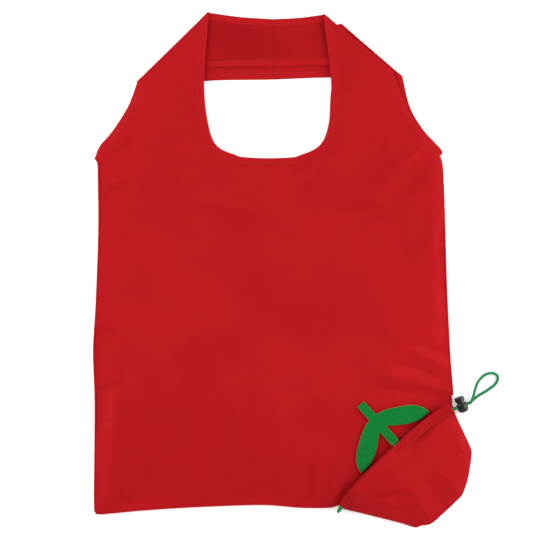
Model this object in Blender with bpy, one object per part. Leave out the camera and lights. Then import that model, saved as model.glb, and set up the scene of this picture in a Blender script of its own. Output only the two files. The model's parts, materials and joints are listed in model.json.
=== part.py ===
"""Foldable tote bag, lying flat on a table with its handles folded down behind their own straps.

Metres, +Z up. X runs across the bag, +Y runs from its bottom to its handles and Z = 0 is the table. The origin is
under the back panel, on the bag's centre line and half way up its body. A drawcord pouch covers the lower right
corner; the bag stows inside it.
"""

import math

import bmesh
import bpy
from mathutils import Matrix, Vector

# Driving dimensions
CLOTH = 0.0008  # thickness of one fabric layer
GAP = 0.0003  # air kept between pieces that touch
BODY_TOP = 0.1937  # the neck line, which the handles swing about
SEAM_WIDTH = 0.0020
CORD_DIAMETER = 0.0030
CASING_WIDTH = 0.0110  # hem tunnel that holds the drawcord
CASING_HEIGHT = 0.0044
CASING_WALL = 0.0005
POUCH_DEPTH = 0.0046  # air between the front panel and the pouch's front
POUCH_WALL = 0.0012
FELT = 0.0025
LOCK_RADIUS = 0.0062
LOCK_BORE_HEIGHT = 0.0036
LOCK_TRAVEL = 0.0024

# Heights of the layers, from the table up
CORNER_BACK_Z = CASING_HEIGHT + GAP
FRONT_Z = CORNER_BACK_Z + CLOTH + GAP
FRONT_TOP = FRONT_Z + CLOTH
POUCH_FRONT_Z = FRONT_TOP + POUCH_DEPTH
LEAF_Z = FRONT_TOP + GAP
BACK_BAND_Z = 0.5 * CLOTH  # middle of the fabric of each handle layer
BACK_STRAP_Z = BACK_BAND_Z + CLOTH + GAP
FRONT_STRAP_Z = FRONT_Z + 0.5 * CLOTH
FRONT_BAND_Z = FRONT_STRAP_Z - CLOTH - GAP

# The body's outer edge, clockwise from the left shoulder
TOP_EDGE = [(-0.1915, BODY_TOP), (0.1880, BODY_TOP)]
RIGHT_EDGE = [(0.1909, 0.118), (0.1930, 0.047), (0.1964, -0.023), (0.1997, -0.058), (0.2002, -0.0665)]
POUCHED_EDGE = [(0.1994, -0.086), (0.2006, -0.140)]
BOTTOM_POUCHED_EDGE = [(0.150, -0.1940), (0.100, -0.1900), (0.078, -0.1890)]
BOTTOM_EDGE = [(0.064, -0.1922), (0.0325, -0.1925), (-0.0094, -0.1892), (-0.0776, -0.1914), (-0.1326, -0.1947)]
LEFT_CORNER = [(-0.1840, -0.1994), (-0.1890, -0.1990), (-0.1928, -0.1890)]
LEFT_EDGE = [(-0.1925, -0.080), (-0.1940, -0.020), (-0.1915, 0.030), (-0.1885, 0.110), (-0.1890, 0.170)]

# The pouch's mouth: a line across the corner, bowed a little towards the bag's middle
MOUTH_RIGHT = Vector((0.2030, -0.0726))
MOUTH_LEFT = Vector((0.0743, -0.1892))
MOUTH_BOW = 0.0085
MOUTH_FLATNESS = 3.5
MOUTH_MIDDLE = 0.5 * (MOUTH_RIGHT + MOUTH_LEFT)
MOUTH_HALF = 0.5 * (MOUTH_RIGHT - MOUTH_LEFT).length
MOUTH_ALONG = (MOUTH_RIGHT - MOUTH_LEFT).normalized()
MOUTH_ACROSS = Vector((MOUTH_ALONG.y, -MOUTH_ALONG.x))
CASING_RIGHT = 0.072  # ends of the hem tunnels, along the mouth
CASING_LEFT = -0.082
MOUTH_STEPS = 24
MOUTH_MARGIN = 0.0020  # a corner this far past the mouth's end still counts as inside it
STEP_ENDS = (-0.0800, 0.0830)  # of the upright piece that joins the two levels of the back panel
PLATE_MOUTH_ENDS = (-0.0795, 0.0735)  # of the pouch's front and back along the mouth
PLATE_MOUTH_STEPS = 14

# The pouch's outer edge, as (along, across) from the middle of its mouth
POUCH_EDGE = [
    (0.0760, 0.0140), (0.0660, 0.0420), (0.0600, 0.0560), (0.0440, 0.0700), (0.0220, 0.0820),
    (-0.0080, 0.0845), (-0.0300, 0.0815), (-0.0420, 0.0735), (-0.0500, 0.0600), (-0.0800, 0.0150),
]
POUCH_CORNER = [(0.0120, 0.0816), (-0.0060, 0.0827)]  # where the bag's corner is sewn to the pouch's edge

# Each half handle: its outer and inner edges from the neck line to the fold, then its band to the middle seam
HANDLE_SEAM_X = 0.0024
HALF_HANDLES = {
    "front_handle_left": {
        "outer": [(-0.1915, 0.1940), (-0.1876, 0.2057), (-0.1735, 0.2230), (-0.1568, 0.2497), (-0.1469, 0.2750)],
        "inner": [(-0.0336, 0.1940), (-0.0588, 0.2057), (-0.0690, 0.2320), (-0.0730, 0.2790), (-0.0676, 0.3525)],
        "band_low": [(-0.0750, 0.2870), (HANDLE_SEAM_X, 0.2937)],
        "band_high": [(-0.0330, 0.3478), (HANDLE_SEAM_X, 0.3454)],
    },
    "front_handle_right": {
        "outer": [(0.1880, 0.1940), (0.1825, 0.2070), (0.1640, 0.2260), (0.1500, 0.2500), (0.1290, 0.2820)],
        "inner": [(0.0280, 0.1940), (0.0534, 0.2057), (0.0640, 0.2300), (0.0665, 0.2780), (0.0578, 0.3505)],
        "band_low": [(0.0650, 0.2890), (HANDLE_SEAM_X, 0.2937)],
        "band_high": [(0.0320, 0.3470), (HANDLE_SEAM_X, 0.3454)],
    },
    "back_handle_left": {
        "outer": [(-0.1890, 0.1940), (-0.1850, 0.2057), (-0.1705, 0.2230), (-0.1540, 0.2480), (-0.1430, 0.2680)],
        "inner": [(-0.0336, 0.1940), (-0.0588, 0.2057), (-0.0690, 0.2320), (-0.0735, 0.2700), (-0.0750, 0.3360)],
        "band_low": [(-0.0750, 0.2745), (HANDLE_SEAM_X, 0.2783)],
        "band_high": [(-0.0330, 0.3320), (HANDLE_SEAM_X, 0.3300)],
    },
    "back_handle_right": {
        "outer": [(0.1872, 0.1940), (0.1840, 0.2070), (0.1690, 0.2230), (0.1540, 0.2500), (0.1458, 0.2770)],
        "inner": [(0.0280, 0.1940), (0.0534, 0.2057), (0.0640, 0.2300), (0.0675, 0.2700), (0.0776, 0.3400)],
        "band_low": [(0.0700, 0.2770), (HANDLE_SEAM_X, 0.2783)],
        "band_high": [(0.0320, 0.3330), (HANDLE_SEAM_X, 0.3300)],
    },
}
HANDLE_STEPS = 4
TURN_STEPS = 4  # of the fold at the end of each strap
HINGE_LIFT = 0.0004  # of each hinge line clear of the cloth
FRONT_HINGE_Z = FRONT_TOP + HINGE_LIFT
BACK_HINGE_Z = -HINGE_LIFT

# The leaf: half its outline, as (across the stem, along it towards the mouth)
LEAF_CENTRE = 0.0060
LEAF_TIP = Vector((0.0500, -0.0098))
STEM_HALF = 0.0050
STEM_TOP = -0.0658
LEAF_UPPER = [(0.0050, -0.0465), (0.0150, -0.0435), (0.0270, -0.0372), (0.0410, -0.0275), (0.0482, -0.0180)]
LEAF_LOWER = [(0.0380, -0.0112), (0.0260, -0.0148), (0.0155, -0.0212), (0.0050, -0.0295)]
LEAF_HINGE_ACROSS = -0.0106
LEAF_HINGE_Z = POUCH_FRONT_Z + 0.00145  # level with the hem's rounded edge
TACK_RADIUS = 0.0005
TACK_OVERHANG = 0.0015  # of the tack's thread past each side of the stem
TACK_HOLE_REACH = 0.0080  # of the cutter each way from the stem's middle

# The cord lock, with its bore across the plunger
LOCK_CENTRE = Vector((0.2105, -0.0800, 0.0066))
LOCK_BORE_ANGLE = math.radians(22.0)
BORE_OFFSET = 0.0012  # of the bore's middle above the ball's middle
BORE_WIDTH = 0.0069
STRAND_SPACING = 0.0033
BARREL_TOP = 0.0042
BARREL_STEPS = 12
BARREL_RIM_ANGLE = 37.9  # degrees above the ball's equator
BARREL_ROUNDNESS = (0.6, 0.8)  # 1 would be a true ball
CAVITY_RADIUS = 0.00475
CAVITY_FLOOR = -0.0049
PLUNGER_RADIUS = 0.00445
PLUNGER_WEB = 0.0008
BUTTON_RADIUS = 0.0053
BUTTON_TOP = 0.0116
BUTTON_ROUNDING = 0.0012
SPRING_RADIUS = 0.0033
SPRING_WIRE = 0.0003
SPRING_TURNS = 3
SPRING_STEPS = 14  # points to a turn
ROUND_SEGMENTS = 32
SHARP_ANGLE = math.radians(35.0)

# The drawcord's route, as (x, y, z) points; between them it runs through both hem tunnels
STRAND_HIGH = LOCK_CENTRE.z + 0.5 * STRAND_SPACING
STRAND_LOW = LOCK_CENTRE.z - 0.5 * STRAND_SPACING
LOCK_LEAD = [0.0070, 0.0000, -0.0070]  # points through the lock, measured along its bore
RAMP_HIGH = (0.1985, -0.0835, 0.0100)  # between the lock and the front hem tunnel
RAMP_LOW = (0.1985, -0.0835, 0.0028)
CORD_TURN = [
    (0.0770, -0.1922, 0.0128), (0.0748, -0.1952, 0.0104), (0.0741, -0.1962, 0.0078),
    (0.0748, -0.1952, 0.0052), (0.0770, -0.1922, 0.0028),
]
LOOP_ROUTE = [
    (0.2228, -0.0695, 0.0078), (0.2250, -0.0615, 0.0066), (0.2285, -0.0535, 0.0050), (0.2360, -0.0464, 0.0032),
    (0.2445, -0.0442, 0.0022), (0.2505, -0.0482, 0.0019), (0.2482, -0.0560, 0.0020), (0.2390, -0.0633, 0.0026),
    (0.2290, -0.0690, 0.0040),
]
TUNNEL_POINTS = 9

MATERIALS = {
    "red_cloth": ((0.50, 0.012, 0.016), 0.62, 0.0),
    "red_cloth_shade": ((0.40, 0.010, 0.013), 0.66, 0.0),
    "red_thread": ((0.46, 0.014, 0.018), 0.60, 0.0),
    "green_felt": ((0.008, 0.23, 0.042), 0.95, 0.0),
    "green_cord": ((0.030, 0.27, 0.110), 0.75, 0.0),
    "black_plastic": ((0.018, 0.015, 0.014), 0.32, 0.0),
    "spring_steel": ((0.55, 0.55, 0.56), 0.30, 1.0),
}


def clear_scene():
    for thing in list(bpy.data.objects):
        bpy.data.objects.remove(thing, do_unlink=True)


def material(name):
    made = bpy.data.materials.get(name)
    if made:
        return made
    colour, roughness, metallic = MATERIALS[name]
    made = bpy.data.materials.new(name)
    made.use_nodes = True
    shader = made.node_tree.nodes["Principled BSDF"]
    shader.inputs["Base Color"].default_value = (*colour, 1.0)
    shader.inputs["Roughness"].default_value = roughness
    shader.inputs["Metallic"].default_value = metallic
    return made


def empty(name, location, rotation=(0.0, 0.0, 0.0)):
    made = bpy.data.objects.new(name, None)
    made.location = location
    made.rotation_euler = rotation
    bpy.context.collection.objects.link(made)
    return made


def add_object(name, mesh_edit, slot, parent=None):
    """An object whose mesh is given in world axes, or in its parent's own axes where there is a parent."""
    bmesh.ops.recalc_face_normals(mesh_edit, faces=mesh_edit.faces)
    mesh = bpy.data.meshes.new(name)
    mesh_edit.to_mesh(mesh)
    mesh_edit.free()
    made = bpy.data.objects.new(name, mesh)
    mesh.materials.append(material(slot))
    bpy.context.collection.objects.link(made)
    made.parent = parent
    return made


def guide(thing):
    thing.hide_render = True
    thing.display_type = "WIRE"
    return thing


def boolean(target, tool, operation):
    modifier = target.modifiers.new(operation.title(), "BOOLEAN")
    modifier.operation = operation
    modifier.object = guide(tool)


def smooth_curve(points, steps):
    """Points along a Catmull-Rom curve that passes through every given point."""
    points = [Vector(p) for p in points]
    padded = [2 * points[0] - points[1], *points, 2 * points[-1] - points[-2]]
    curve = []
    for before, start, end, after in zip(padded, padded[1:], padded[2:], padded[3:]):
        for step in range(steps):
            t = step / steps
            curve.append(
                0.5
                * (
                    2 * start
                    + (end - before) * t
                    + (2 * before - 5 * start + 4 * end - after) * t**2
                    + (3 * start - before - 3 * end + after) * t**3
                )
            )
    curve.append(points[-1])
    return curve


def place(along, across):
    """World x and y of a point given from the middle of the pouch's mouth."""
    return MOUTH_MIDDLE + along * MOUTH_ALONG + across * MOUTH_ACROSS


def mouth_edge(along):
    """How far across the pouch's hem edge lies at this place along its mouth."""
    return -MOUTH_BOW * (1.0 - abs(along / MOUTH_HALF) ** MOUTH_FLATNESS)


def mouth_line(low, high, offset, count):
    """Points beside the hem edge, at one distance from it towards the pouch."""
    spots = [low + (high - low) * i / (count - 1) for i in range(count)]
    return [place(along, mouth_edge(along) + offset) for along in spots]


def inset(outline, distance):
    """A closed clockwise outline, moved inwards by one distance."""
    moved = []
    for i, corner in enumerate(outline):
        before = (corner - outline[i - 1]).normalized()
        after = (outline[(i + 1) % len(outline)] - corner).normalized()
        normal = Vector((before.y + after.y, -before.x - after.x)).normalized()
        reach = distance / max(0.5, normal.dot(Vector((before.y, -before.x))))
        moved.append(corner + normal * reach)
    return moved


def prism(name, outline, low, high, slot, parent=None):
    """A flat plate with the given outline."""
    edit = bmesh.new()
    face = edit.faces.new([edit.verts.new((p[0], p[1], low)) for p in outline])
    raised = bmesh.ops.extrude_face_region(edit, geom=[face])["geom"]
    tops = [item for item in raised if isinstance(item, bmesh.types.BMVert)]
    bmesh.ops.translate(edit, verts=tops, vec=(0.0, 0.0, high - low))
    return add_object(name, edit, slot, parent)


def bridged(name, rings, slot, parent=None):
    """A solid skinned over a row of rings, with flat ends."""
    edit = bmesh.new()
    made = [[edit.verts.new(point) for point in ring] for ring in rings]
    count = len(made[0])
    for ring, following in zip(made, made[1:]):
        for i in range(count):
            j = (i + 1) % count
            edit.faces.new((ring[i], ring[j], following[j], following[i]))
    edit.faces.new(reversed(made[0]))
    edit.faces.new(made[-1])
    return add_object(name, edit, slot, parent)


def sideways(path):
    """The unit vector to the right of a flat path at each of its points."""
    vectors = []
    for i in range(len(path)):
        run = path[min(i + 1, len(path) - 1)] - path[max(i - 1, 0)]
        vectors.append(Vector((run.y, -run.x)).normalized())
    return vectors


def strip(name, path, width, low, high, slot):
    """An upright band of fabric or seam along a flat path."""
    rings = []
    for point, side in zip(path, sideways(path)):
        left = point - side * 0.5 * width
        right = point + side * 0.5 * width
        rings.append([(*left, low), (*right, low), (*right, high), (*left, high)])
    return bridged(name, rings, slot)


def tunnel(name, path, low, slot):
    """A hem tunnel of rectangular section along a flat path, open at both ends."""
    edit = bmesh.new()
    rings = []
    high = low + CASING_HEIGHT
    for point, side in zip(path, sideways(path)):
        ring = []
        for wall in (0.0, CASING_WALL):
            reach = 0.5 * CASING_WIDTH - wall
            left = point - side * reach
            right = point + side * reach
            corners = [(*left, low + wall), (*right, low + wall), (*right, high - wall), (*left, high - wall)]
            ring.append([edit.verts.new(corner) for corner in corners])
        rings.append(ring)
    for ring, following in zip(rings, rings[1:]):
        for layer in (0, 1):
            for i in range(4):
                j = (i + 1) % 4
                edit.faces.new((ring[layer][i], ring[layer][j], following[layer][j], following[layer][i]))
    for end in (rings[0], rings[-1]):
        for i in range(4):
            j = (i + 1) % 4
            edit.faces.new((end[0][i], end[0][j], end[1][j], end[1][i]))
    return add_object(name, edit, slot)


def lathe(name, profile, slot, parent):
    """A solid turned about its local Z axis from (radius, height) points that start and end on the axis."""
    edit = bmesh.new()
    bottom = edit.verts.new((0.0, 0.0, profile[0][1]))
    top = edit.verts.new((0.0, 0.0, profile[-1][1]))
    rings = []
    for radius, height in profile[1:-1]:
        turns = [2 * math.pi * i / ROUND_SEGMENTS for i in range(ROUND_SEGMENTS)]
        rings.append([edit.verts.new((radius * math.cos(a), radius * math.sin(a), height)) for a in turns])
    for i in range(ROUND_SEGMENTS):
        j = (i + 1) % ROUND_SEGMENTS
        edit.faces.new((bottom, rings[0][j], rings[0][i]))
        edit.faces.new((top, rings[-1][i], rings[-1][j]))
        for ring, following in zip(rings, rings[1:]):
            edit.faces.new((ring[i], ring[j], following[j], following[i]))
    made = add_object(name, edit, slot, parent)
    made.data.shade_smooth()
    made.data.set_sharp_from_angle(angle=SHARP_ANGLE)
    return made


def cord(name, points, radius, slot, parent=None):
    """A round cord with closed ends along its points."""
    data = bpy.data.curves.new(name, "CURVE")
    data.dimensions = "3D"
    data.bevel_depth = radius
    data.bevel_resolution = 2
    data.use_fill_caps = True
    spline = data.splines.new("POLY")
    spline.points.add(len(points) - 1)
    for target, point in zip(spline.points, points):
        target.co = (*point, 1.0)
    data.materials.append(material(slot))
    made = bpy.data.objects.new(name, data)
    bpy.context.collection.objects.link(made)
    made.parent = parent
    return made


def body_outline():
    corner = [place(*spot) for spot in POUCH_CORNER]
    points = [
        *TOP_EDGE, *RIGHT_EDGE, *POUCHED_EDGE, *corner, *BOTTOM_POUCHED_EDGE, *BOTTOM_EDGE, *LEFT_CORNER, *LEFT_EDGE,
    ]
    return [Vector(point) for point in points]


def panel_outline():
    """A panel's edge: inside the seams all round, and out to the neck line along the top."""
    outline = body_outline()
    for corner in outline[:2]:
        corner.y += SEAM_WIDTH + GAP
    return inset(outline, SEAM_WIDTH + GAP)


def cut_at_mouth(outline, offset, pouch_side):
    """The part of an outline on one side of a line beside the pouch's mouth."""
    line = mouth_line(-MOUTH_HALF, MOUTH_HALF, offset, MOUTH_STEPS)
    kept = []
    for point in outline:
        along = (point - MOUTH_MIDDLE).dot(MOUTH_ALONG)
        across = (point - MOUTH_MIDDLE).dot(MOUTH_ACROSS)
        inside = abs(along) < MOUTH_HALF + MOUTH_MARGIN and across > mouth_edge(min(MOUTH_HALF, abs(along))) + offset
        kept.append(inside == pouch_side)
    first = next(i for i in range(len(outline)) if kept[i] and not kept[i - 1])
    turned = outline[first:] + outline[:first]
    flags = kept[first:] + kept[:first]
    side = [point for point, keep in zip(turned, flags) if keep]
    ends = line if (line[0] - side[-1]).length < (line[-1] - side[-1]).length else line[::-1]
    return side + ends


def make_panels():
    outline = panel_outline()
    prism("front_panel", outline, FRONT_Z, FRONT_TOP, "red_cloth")
    step_near = -2 * GAP
    step_far = step_near - CLOTH
    back = prism("back_panel", cut_at_mouth(outline, step_near, False), 0.0, CLOTH, "red_cloth_shade")
    corner = prism(
        "back_panel_corner", cut_at_mouth(outline, step_far, True), CORNER_BACK_Z, FRONT_Z - GAP, "red_cloth_shade"
    )
    step_path = mouth_line(*STEP_ENDS, 0.5 * (step_near + step_far), MOUTH_STEPS)
    step = strip("back_panel_step", step_path, CLOTH, 0.0, FRONT_Z - GAP, "red_cloth_shade")
    boolean(back, step, "UNION")
    boolean(back, corner, "UNION")


def make_seams():
    outline = body_outline()
    inner = inset(outline, 0.5 * SEAM_WIDTH)
    right_start = 1
    right_end = right_start + len(RIGHT_EDGE)
    corner_start = right_end + len(POUCHED_EDGE) + 1
    bottom_start = corner_start + len(POUCH_CORNER) + len(BOTTOM_POUCHED_EDGE)
    bottom_end = bottom_start + len(BOTTOM_EDGE)
    left_start = bottom_end + len(LEFT_CORNER) - 1
    top = FRONT_TOP
    strip("side_seam_right", inner[right_start:right_end + 1], SEAM_WIDTH, 0.0, top, "red_thread")
    strip("corner_seam", inner[corner_start:corner_start + 2], SEAM_WIDTH, CORNER_BACK_Z, top, "red_thread")
    strip("bottom_seam", inner[bottom_start:bottom_end + 1], SEAM_WIDTH, 0.0, top, "red_thread")
    left = inner[left_start:] + inner[:1]
    strip("side_seam_left", left, SEAM_WIDTH, 0.0, top, "red_thread")


def make_handle_half(name, parent, strap_z, band_z):
    """A strap that rises from the neck line, folds back over a slanting fold and runs on as half of the band."""
    edges = HALF_HANDLES[name]
    outer = smooth_curve(edges["outer"], HANDLE_STEPS)
    inner = smooth_curve(edges["inner"], HANDLE_STEPS)
    flat = Vector((0.0, 0.0, 0.5 * CLOTH))
    rings = []

    def ring(first, second, height, thick):
        a = Vector((*first, height)) - parent.location
        b = Vector((*second, height)) - parent.location
        rings.append([a - thick, b - thick, b + thick, a + thick])

    for a, b in zip(outer, inner):
        ring(a, b, strap_z, flat)
    fold = outer[-1] - inner[-1]
    outward = Vector((fold.y, -fold.x)).normalized()
    if outward.y < 0:
        outward = -outward
    radius = 0.5 * (strap_z - band_z)
    middle = 0.5 * (strap_z + band_z)
    for step in range(1, TURN_STEPS + 1):
        turn = math.pi * step / TURN_STEPS
        lean = outward * math.sin(turn)
        thick = 0.5 * CLOTH * Vector((lean.x, lean.y, math.cos(turn)))
        ring(outer[-1] + lean * radius, inner[-1] + lean * radius, middle + radius * math.cos(turn), thick)
    seam_side = math.copysign(0.5 * SEAM_WIDTH + GAP, edges["outer"][0][0])
    for low, high in zip(edges["band_low"], edges["band_high"]):
        shift = Vector((seam_side, 0.0)) if low[0] == HANDLE_SEAM_X else Vector((0.0, 0.0))
        ring(Vector(low) + shift, Vector(high) + shift, band_z, -flat)
    return bridged(name, rings, "red_cloth", parent)


def make_handle(side, hinge_z, strap_z, band_z):
    """One handle: two straps and the seam that joins their bands, turning about the neck line."""
    hinge = empty(f"{side}_handle_hinge", (0.0, BODY_TOP, hinge_z))
    for half in ("left", "right"):
        make_handle_half(f"{side}_handle_{half}", hinge, strap_z, band_z)
    edges = HALF_HANDLES[f"{side}_handle_left"]
    low = edges["band_low"][-1][1] - hinge.location.y
    high = edges["band_high"][-1][1] - hinge.location.y
    half = 0.5 * SEAM_WIDTH
    outline = [
        (HANDLE_SEAM_X - half, low), (HANDLE_SEAM_X + half, low), (HANDLE_SEAM_X + half, high),
        (HANDLE_SEAM_X - half, high),
    ]
    bottom = band_z - 0.5 * CLOTH - hinge.location.z
    prism(f"{side}_handle_seam", outline, bottom, bottom + CLOTH, "red_thread", hinge)


def make_pouch():
    edge = [place(*spot) for spot in smooth_curve(POUCH_EDGE, 3)]
    wall_path = [p + s * 0.5 * POUCH_WALL for p, s in zip(edge, sideways(edge))]
    strip("pouch_edge_seam", wall_path, POUCH_WALL, 0.0, POUCH_FRONT_Z + CLOTH, "red_thread")
    plate_edge = [p + s * (POUCH_WALL + GAP) for p, s in zip(edge, sideways(edge))]
    mouth = mouth_line(*PLATE_MOUTH_ENDS, CASING_WIDTH + GAP, PLATE_MOUTH_STEPS)
    plate = plate_edge + mouth
    prism("pouch_front", plate, POUCH_FRONT_Z, POUCH_FRONT_Z + CLOTH, "red_cloth")
    prism("pouch_back", plate, 0.0, CLOTH, "red_cloth")
    casing = mouth_line(CASING_LEFT, CASING_RIGHT, 0.5 * CASING_WIDTH, MOUTH_STEPS)
    tunnel("pouch_casing_front", casing, POUCH_FRONT_Z, "red_cloth")
    tunnel("pouch_casing_back", casing, 0.0, "red_cloth")


def leaf_point(across_stem, towards_mouth):
    return place(LEAF_CENTRE + across_stem, towards_mouth)


def hinge_matrix(hinge, heading):
    return Matrix.Translation(hinge.location) @ Matrix.Rotation(heading, 4, "Z")


def make_leaf():
    """A felt leaf with a stem; its tail turns up to the hem, where a thread tacks it."""
    half = [(STEM_HALF, STEM_TOP), *LEAF_UPPER, tuple(LEAF_TIP), *LEAF_LOWER]
    tail = LEAF_HINGE_ACROSS + 0.5 * FELT
    half.append((STEM_HALF, tail))
    outline = [leaf_point(*spot) for spot in half] + [leaf_point(-a, b) for a, b in reversed(half)]
    heading = math.atan2(MOUTH_ALONG.y, MOUTH_ALONG.x)
    hinge = empty("leaf_hinge", (*leaf_point(0.0, LEAF_HINGE_ACROSS), LEAF_HINGE_Z), (0.0, 0.0, heading))
    into_hinge = hinge_matrix(hinge, heading).inverted()
    local = [(into_hinge @ Vector((*p, 0.0))).to_2d() for p in outline]
    bottom = LEAF_Z - LEAF_HINGE_Z
    leaf = prism("leaf", local, bottom, bottom + FELT, "green_felt", hinge)
    tab = [(-STEM_HALF, -0.5 * FELT), (STEM_HALF, -0.5 * FELT), (STEM_HALF, 0.5 * FELT), (-STEM_HALF, 0.5 * FELT)]
    boolean(leaf, prism("leaf_tail", tab, bottom, 0.5 * FELT, "green_felt", hinge), "UNION")
    hole_ends = [(-TACK_HOLE_REACH, 0.0, 0.0), (TACK_HOLE_REACH, 0.0, 0.0)]
    hole = cord("leaf_tack_hole", hole_ends, TACK_RADIUS + GAP, "green_felt", hinge)
    boolean_hole(leaf, hole)
    face = LEAF_HINGE_ACROSS - mouth_edge(LEAF_CENTRE) + GAP
    reach = STEM_HALF + TACK_OVERHANG
    staple = [(-reach, face, 0.0), (-reach, 0.0, 0.0), (reach, 0.0, 0.0), (reach, face, 0.0)]
    cord("leaf_tack", [hinge_matrix(hinge, heading) @ Vector(p) for p in staple], TACK_RADIUS, "green_cord")


def boolean_hole(target, curve_tool):
    """Cuts with a cord-shaped tool, as a mesh."""
    bpy.context.view_layer.update()
    graph = bpy.context.evaluated_depsgraph_get()
    mesh = bpy.data.meshes.new_from_object(curve_tool.evaluated_get(graph))
    tool = bpy.data.objects.new(f"{curve_tool.name}_mesh", mesh)
    bpy.context.collection.objects.link(tool)
    tool.parent = curve_tool.parent
    bpy.data.objects.remove(curve_tool, do_unlink=True)
    boolean(target, tool, "DIFFERENCE")


def slot_cutter(name, middle, height, width, parent):
    """A straight-sided cutter along the lock's bore."""
    edit = bmesh.new()
    bmesh.ops.create_cube(edit, size=1.0)
    bmesh.ops.scale(edit, verts=edit.verts, vec=(4 * LOCK_RADIUS, width, height))
    bmesh.ops.translate(edit, verts=edit.verts, vec=(0.0, 0.0, middle))
    return add_object(name, edit, "black_plastic", parent)


def make_cord_lock():
    """A ball-shaped cord lock: barrel, sprung plunger and the bore that both strands pass through."""
    turn = Matrix(
        (
            (math.cos(LOCK_BORE_ANGLE), 0.0, -math.sin(LOCK_BORE_ANGLE)),
            (math.sin(LOCK_BORE_ANGLE), 0.0, math.cos(LOCK_BORE_ANGLE)),
            (0.0, -1.0, 0.0),
        )
    )
    axis_place = empty("cord_lock_axis", LOCK_CENTRE - turn.col[2] * BORE_OFFSET, turn.to_euler())
    profile = [(0.0, -LOCK_RADIUS)]
    wide, tall = BARREL_ROUNDNESS
    for step in range(1, BARREL_STEPS + 1):
        lift = math.radians(-90 + (90 + BARREL_RIM_ANGLE) * step / BARREL_STEPS)
        radius = LOCK_RADIUS * math.cos(lift) ** wide
        height = LOCK_RADIUS * math.copysign(abs(math.sin(lift)) ** tall, lift)
        profile.append((radius, min(height, BARREL_TOP)))
    profile += [(CAVITY_RADIUS, BARREL_TOP), (CAVITY_RADIUS, CAVITY_FLOOR), (0.0, CAVITY_FLOOR)]
    barrel = lathe("cord_lock_barrel", profile, "black_plastic", axis_place)
    boolean(barrel, slot_cutter("barrel_bore", BORE_OFFSET, LOCK_BORE_HEIGHT, BORE_WIDTH, axis_place), "DIFFERENCE")

    bore_low = BORE_OFFSET - 0.5 * LOCK_BORE_HEIGHT
    stem_low = bore_low - PLUNGER_WEB
    button_low = BARREL_TOP + LOCK_TRAVEL + GAP
    inner_edge = 0.3 * BUTTON_ROUNDING
    profile = [
        (0.0, stem_low), (PLUNGER_RADIUS, stem_low), (PLUNGER_RADIUS, button_low), (BUTTON_RADIUS, button_low),
        (BUTTON_RADIUS, BUTTON_TOP - BUTTON_ROUNDING), (BUTTON_RADIUS - inner_edge, BUTTON_TOP - inner_edge),
        (BUTTON_RADIUS - BUTTON_ROUNDING, BUTTON_TOP), (0.0, BUTTON_TOP),
    ]
    plunger = lathe("cord_lock_plunger", profile, "black_plastic", axis_place)
    slot_height = LOCK_BORE_HEIGHT + LOCK_TRAVEL
    cutter = slot_cutter("plunger_slot", bore_low + 0.5 * slot_height, slot_height, BORE_WIDTH, axis_place)
    boolean(plunger, cutter, "DIFFERENCE")

    coil_low = CAVITY_FLOOR + SPRING_WIRE + GAP
    coil_high = stem_low - SPRING_WIRE - GAP
    count = SPRING_STEPS * SPRING_TURNS
    coil = []
    for i in range(count + 1):
        angle = 2 * math.pi * SPRING_TURNS * i / count
        height = coil_low + (coil_high - coil_low) * i / count
        coil.append((SPRING_RADIUS * math.cos(angle), SPRING_RADIUS * math.sin(angle), height))
    cord("cord_lock_spring", coil, SPRING_WIRE, "spring_steel", axis_place)


def lock_strand(height):
    """Points of one strand through the lock, from its outer end inwards."""
    bore = Vector((math.cos(LOCK_BORE_ANGLE), math.sin(LOCK_BORE_ANGLE)))
    middle = LOCK_CENTRE.to_2d()
    return [(*(middle + bore * lead), height) for lead in LOCK_LEAD]


def make_cords():
    """The drawcord through both hem tunnels, with its ends in the lock, and the loop beyond the lock."""
    run = mouth_line(CASING_LEFT, CASING_RIGHT, 0.5 * CASING_WIDTH, TUNNEL_POINTS)
    front_z = POUCH_FRONT_Z + 0.5 * CASING_HEIGHT
    back_z = 0.5 * CASING_HEIGHT
    front_run = [(*point, front_z) for point in reversed(run)]
    back_run = [(*point, back_z) for point in run]
    route = [
        *lock_strand(STRAND_HIGH), RAMP_HIGH, *front_run, *CORD_TURN, *back_run, RAMP_LOW,
        *reversed(lock_strand(STRAND_LOW)),
    ]
    cord("drawcord", smooth_curve(route, 2), 0.5 * CORD_DIAMETER, "green_cord")
    bore = Vector((math.cos(LOCK_BORE_ANGLE), math.sin(LOCK_BORE_ANGLE)))
    outlet = LOCK_CENTRE.to_2d() + bore * (LOCK_LEAD[0] + GAP)
    lead = outlet + bore * CORD_DIAMETER
    loop = [(*outlet, STRAND_HIGH), (*lead, STRAND_HIGH), *LOOP_ROUTE, (*lead, STRAND_LOW), (*outlet, STRAND_LOW)]
    cord("drawcord_loop", smooth_curve(loop, 2), 0.5 * CORD_DIAMETER, "green_cord")


clear_scene()
make_panels()
make_seams()
make_handle("front", FRONT_HINGE_Z, FRONT_STRAP_Z, FRONT_BAND_Z)
make_handle("back", BACK_HINGE_Z, BACK_STRAP_Z, BACK_BAND_Z)
make_pouch()
make_leaf()
make_cord_lock()
make_cords()
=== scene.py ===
"""Foldable tote bag of thin red polyester, lying flat, with its drawcord pouch, felt leaf and cord lock."""

import json
import math

import bmesh
import bpy
import numpy as np
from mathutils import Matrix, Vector, noise
from mathutils.bvhtree import BVHTree


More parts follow.
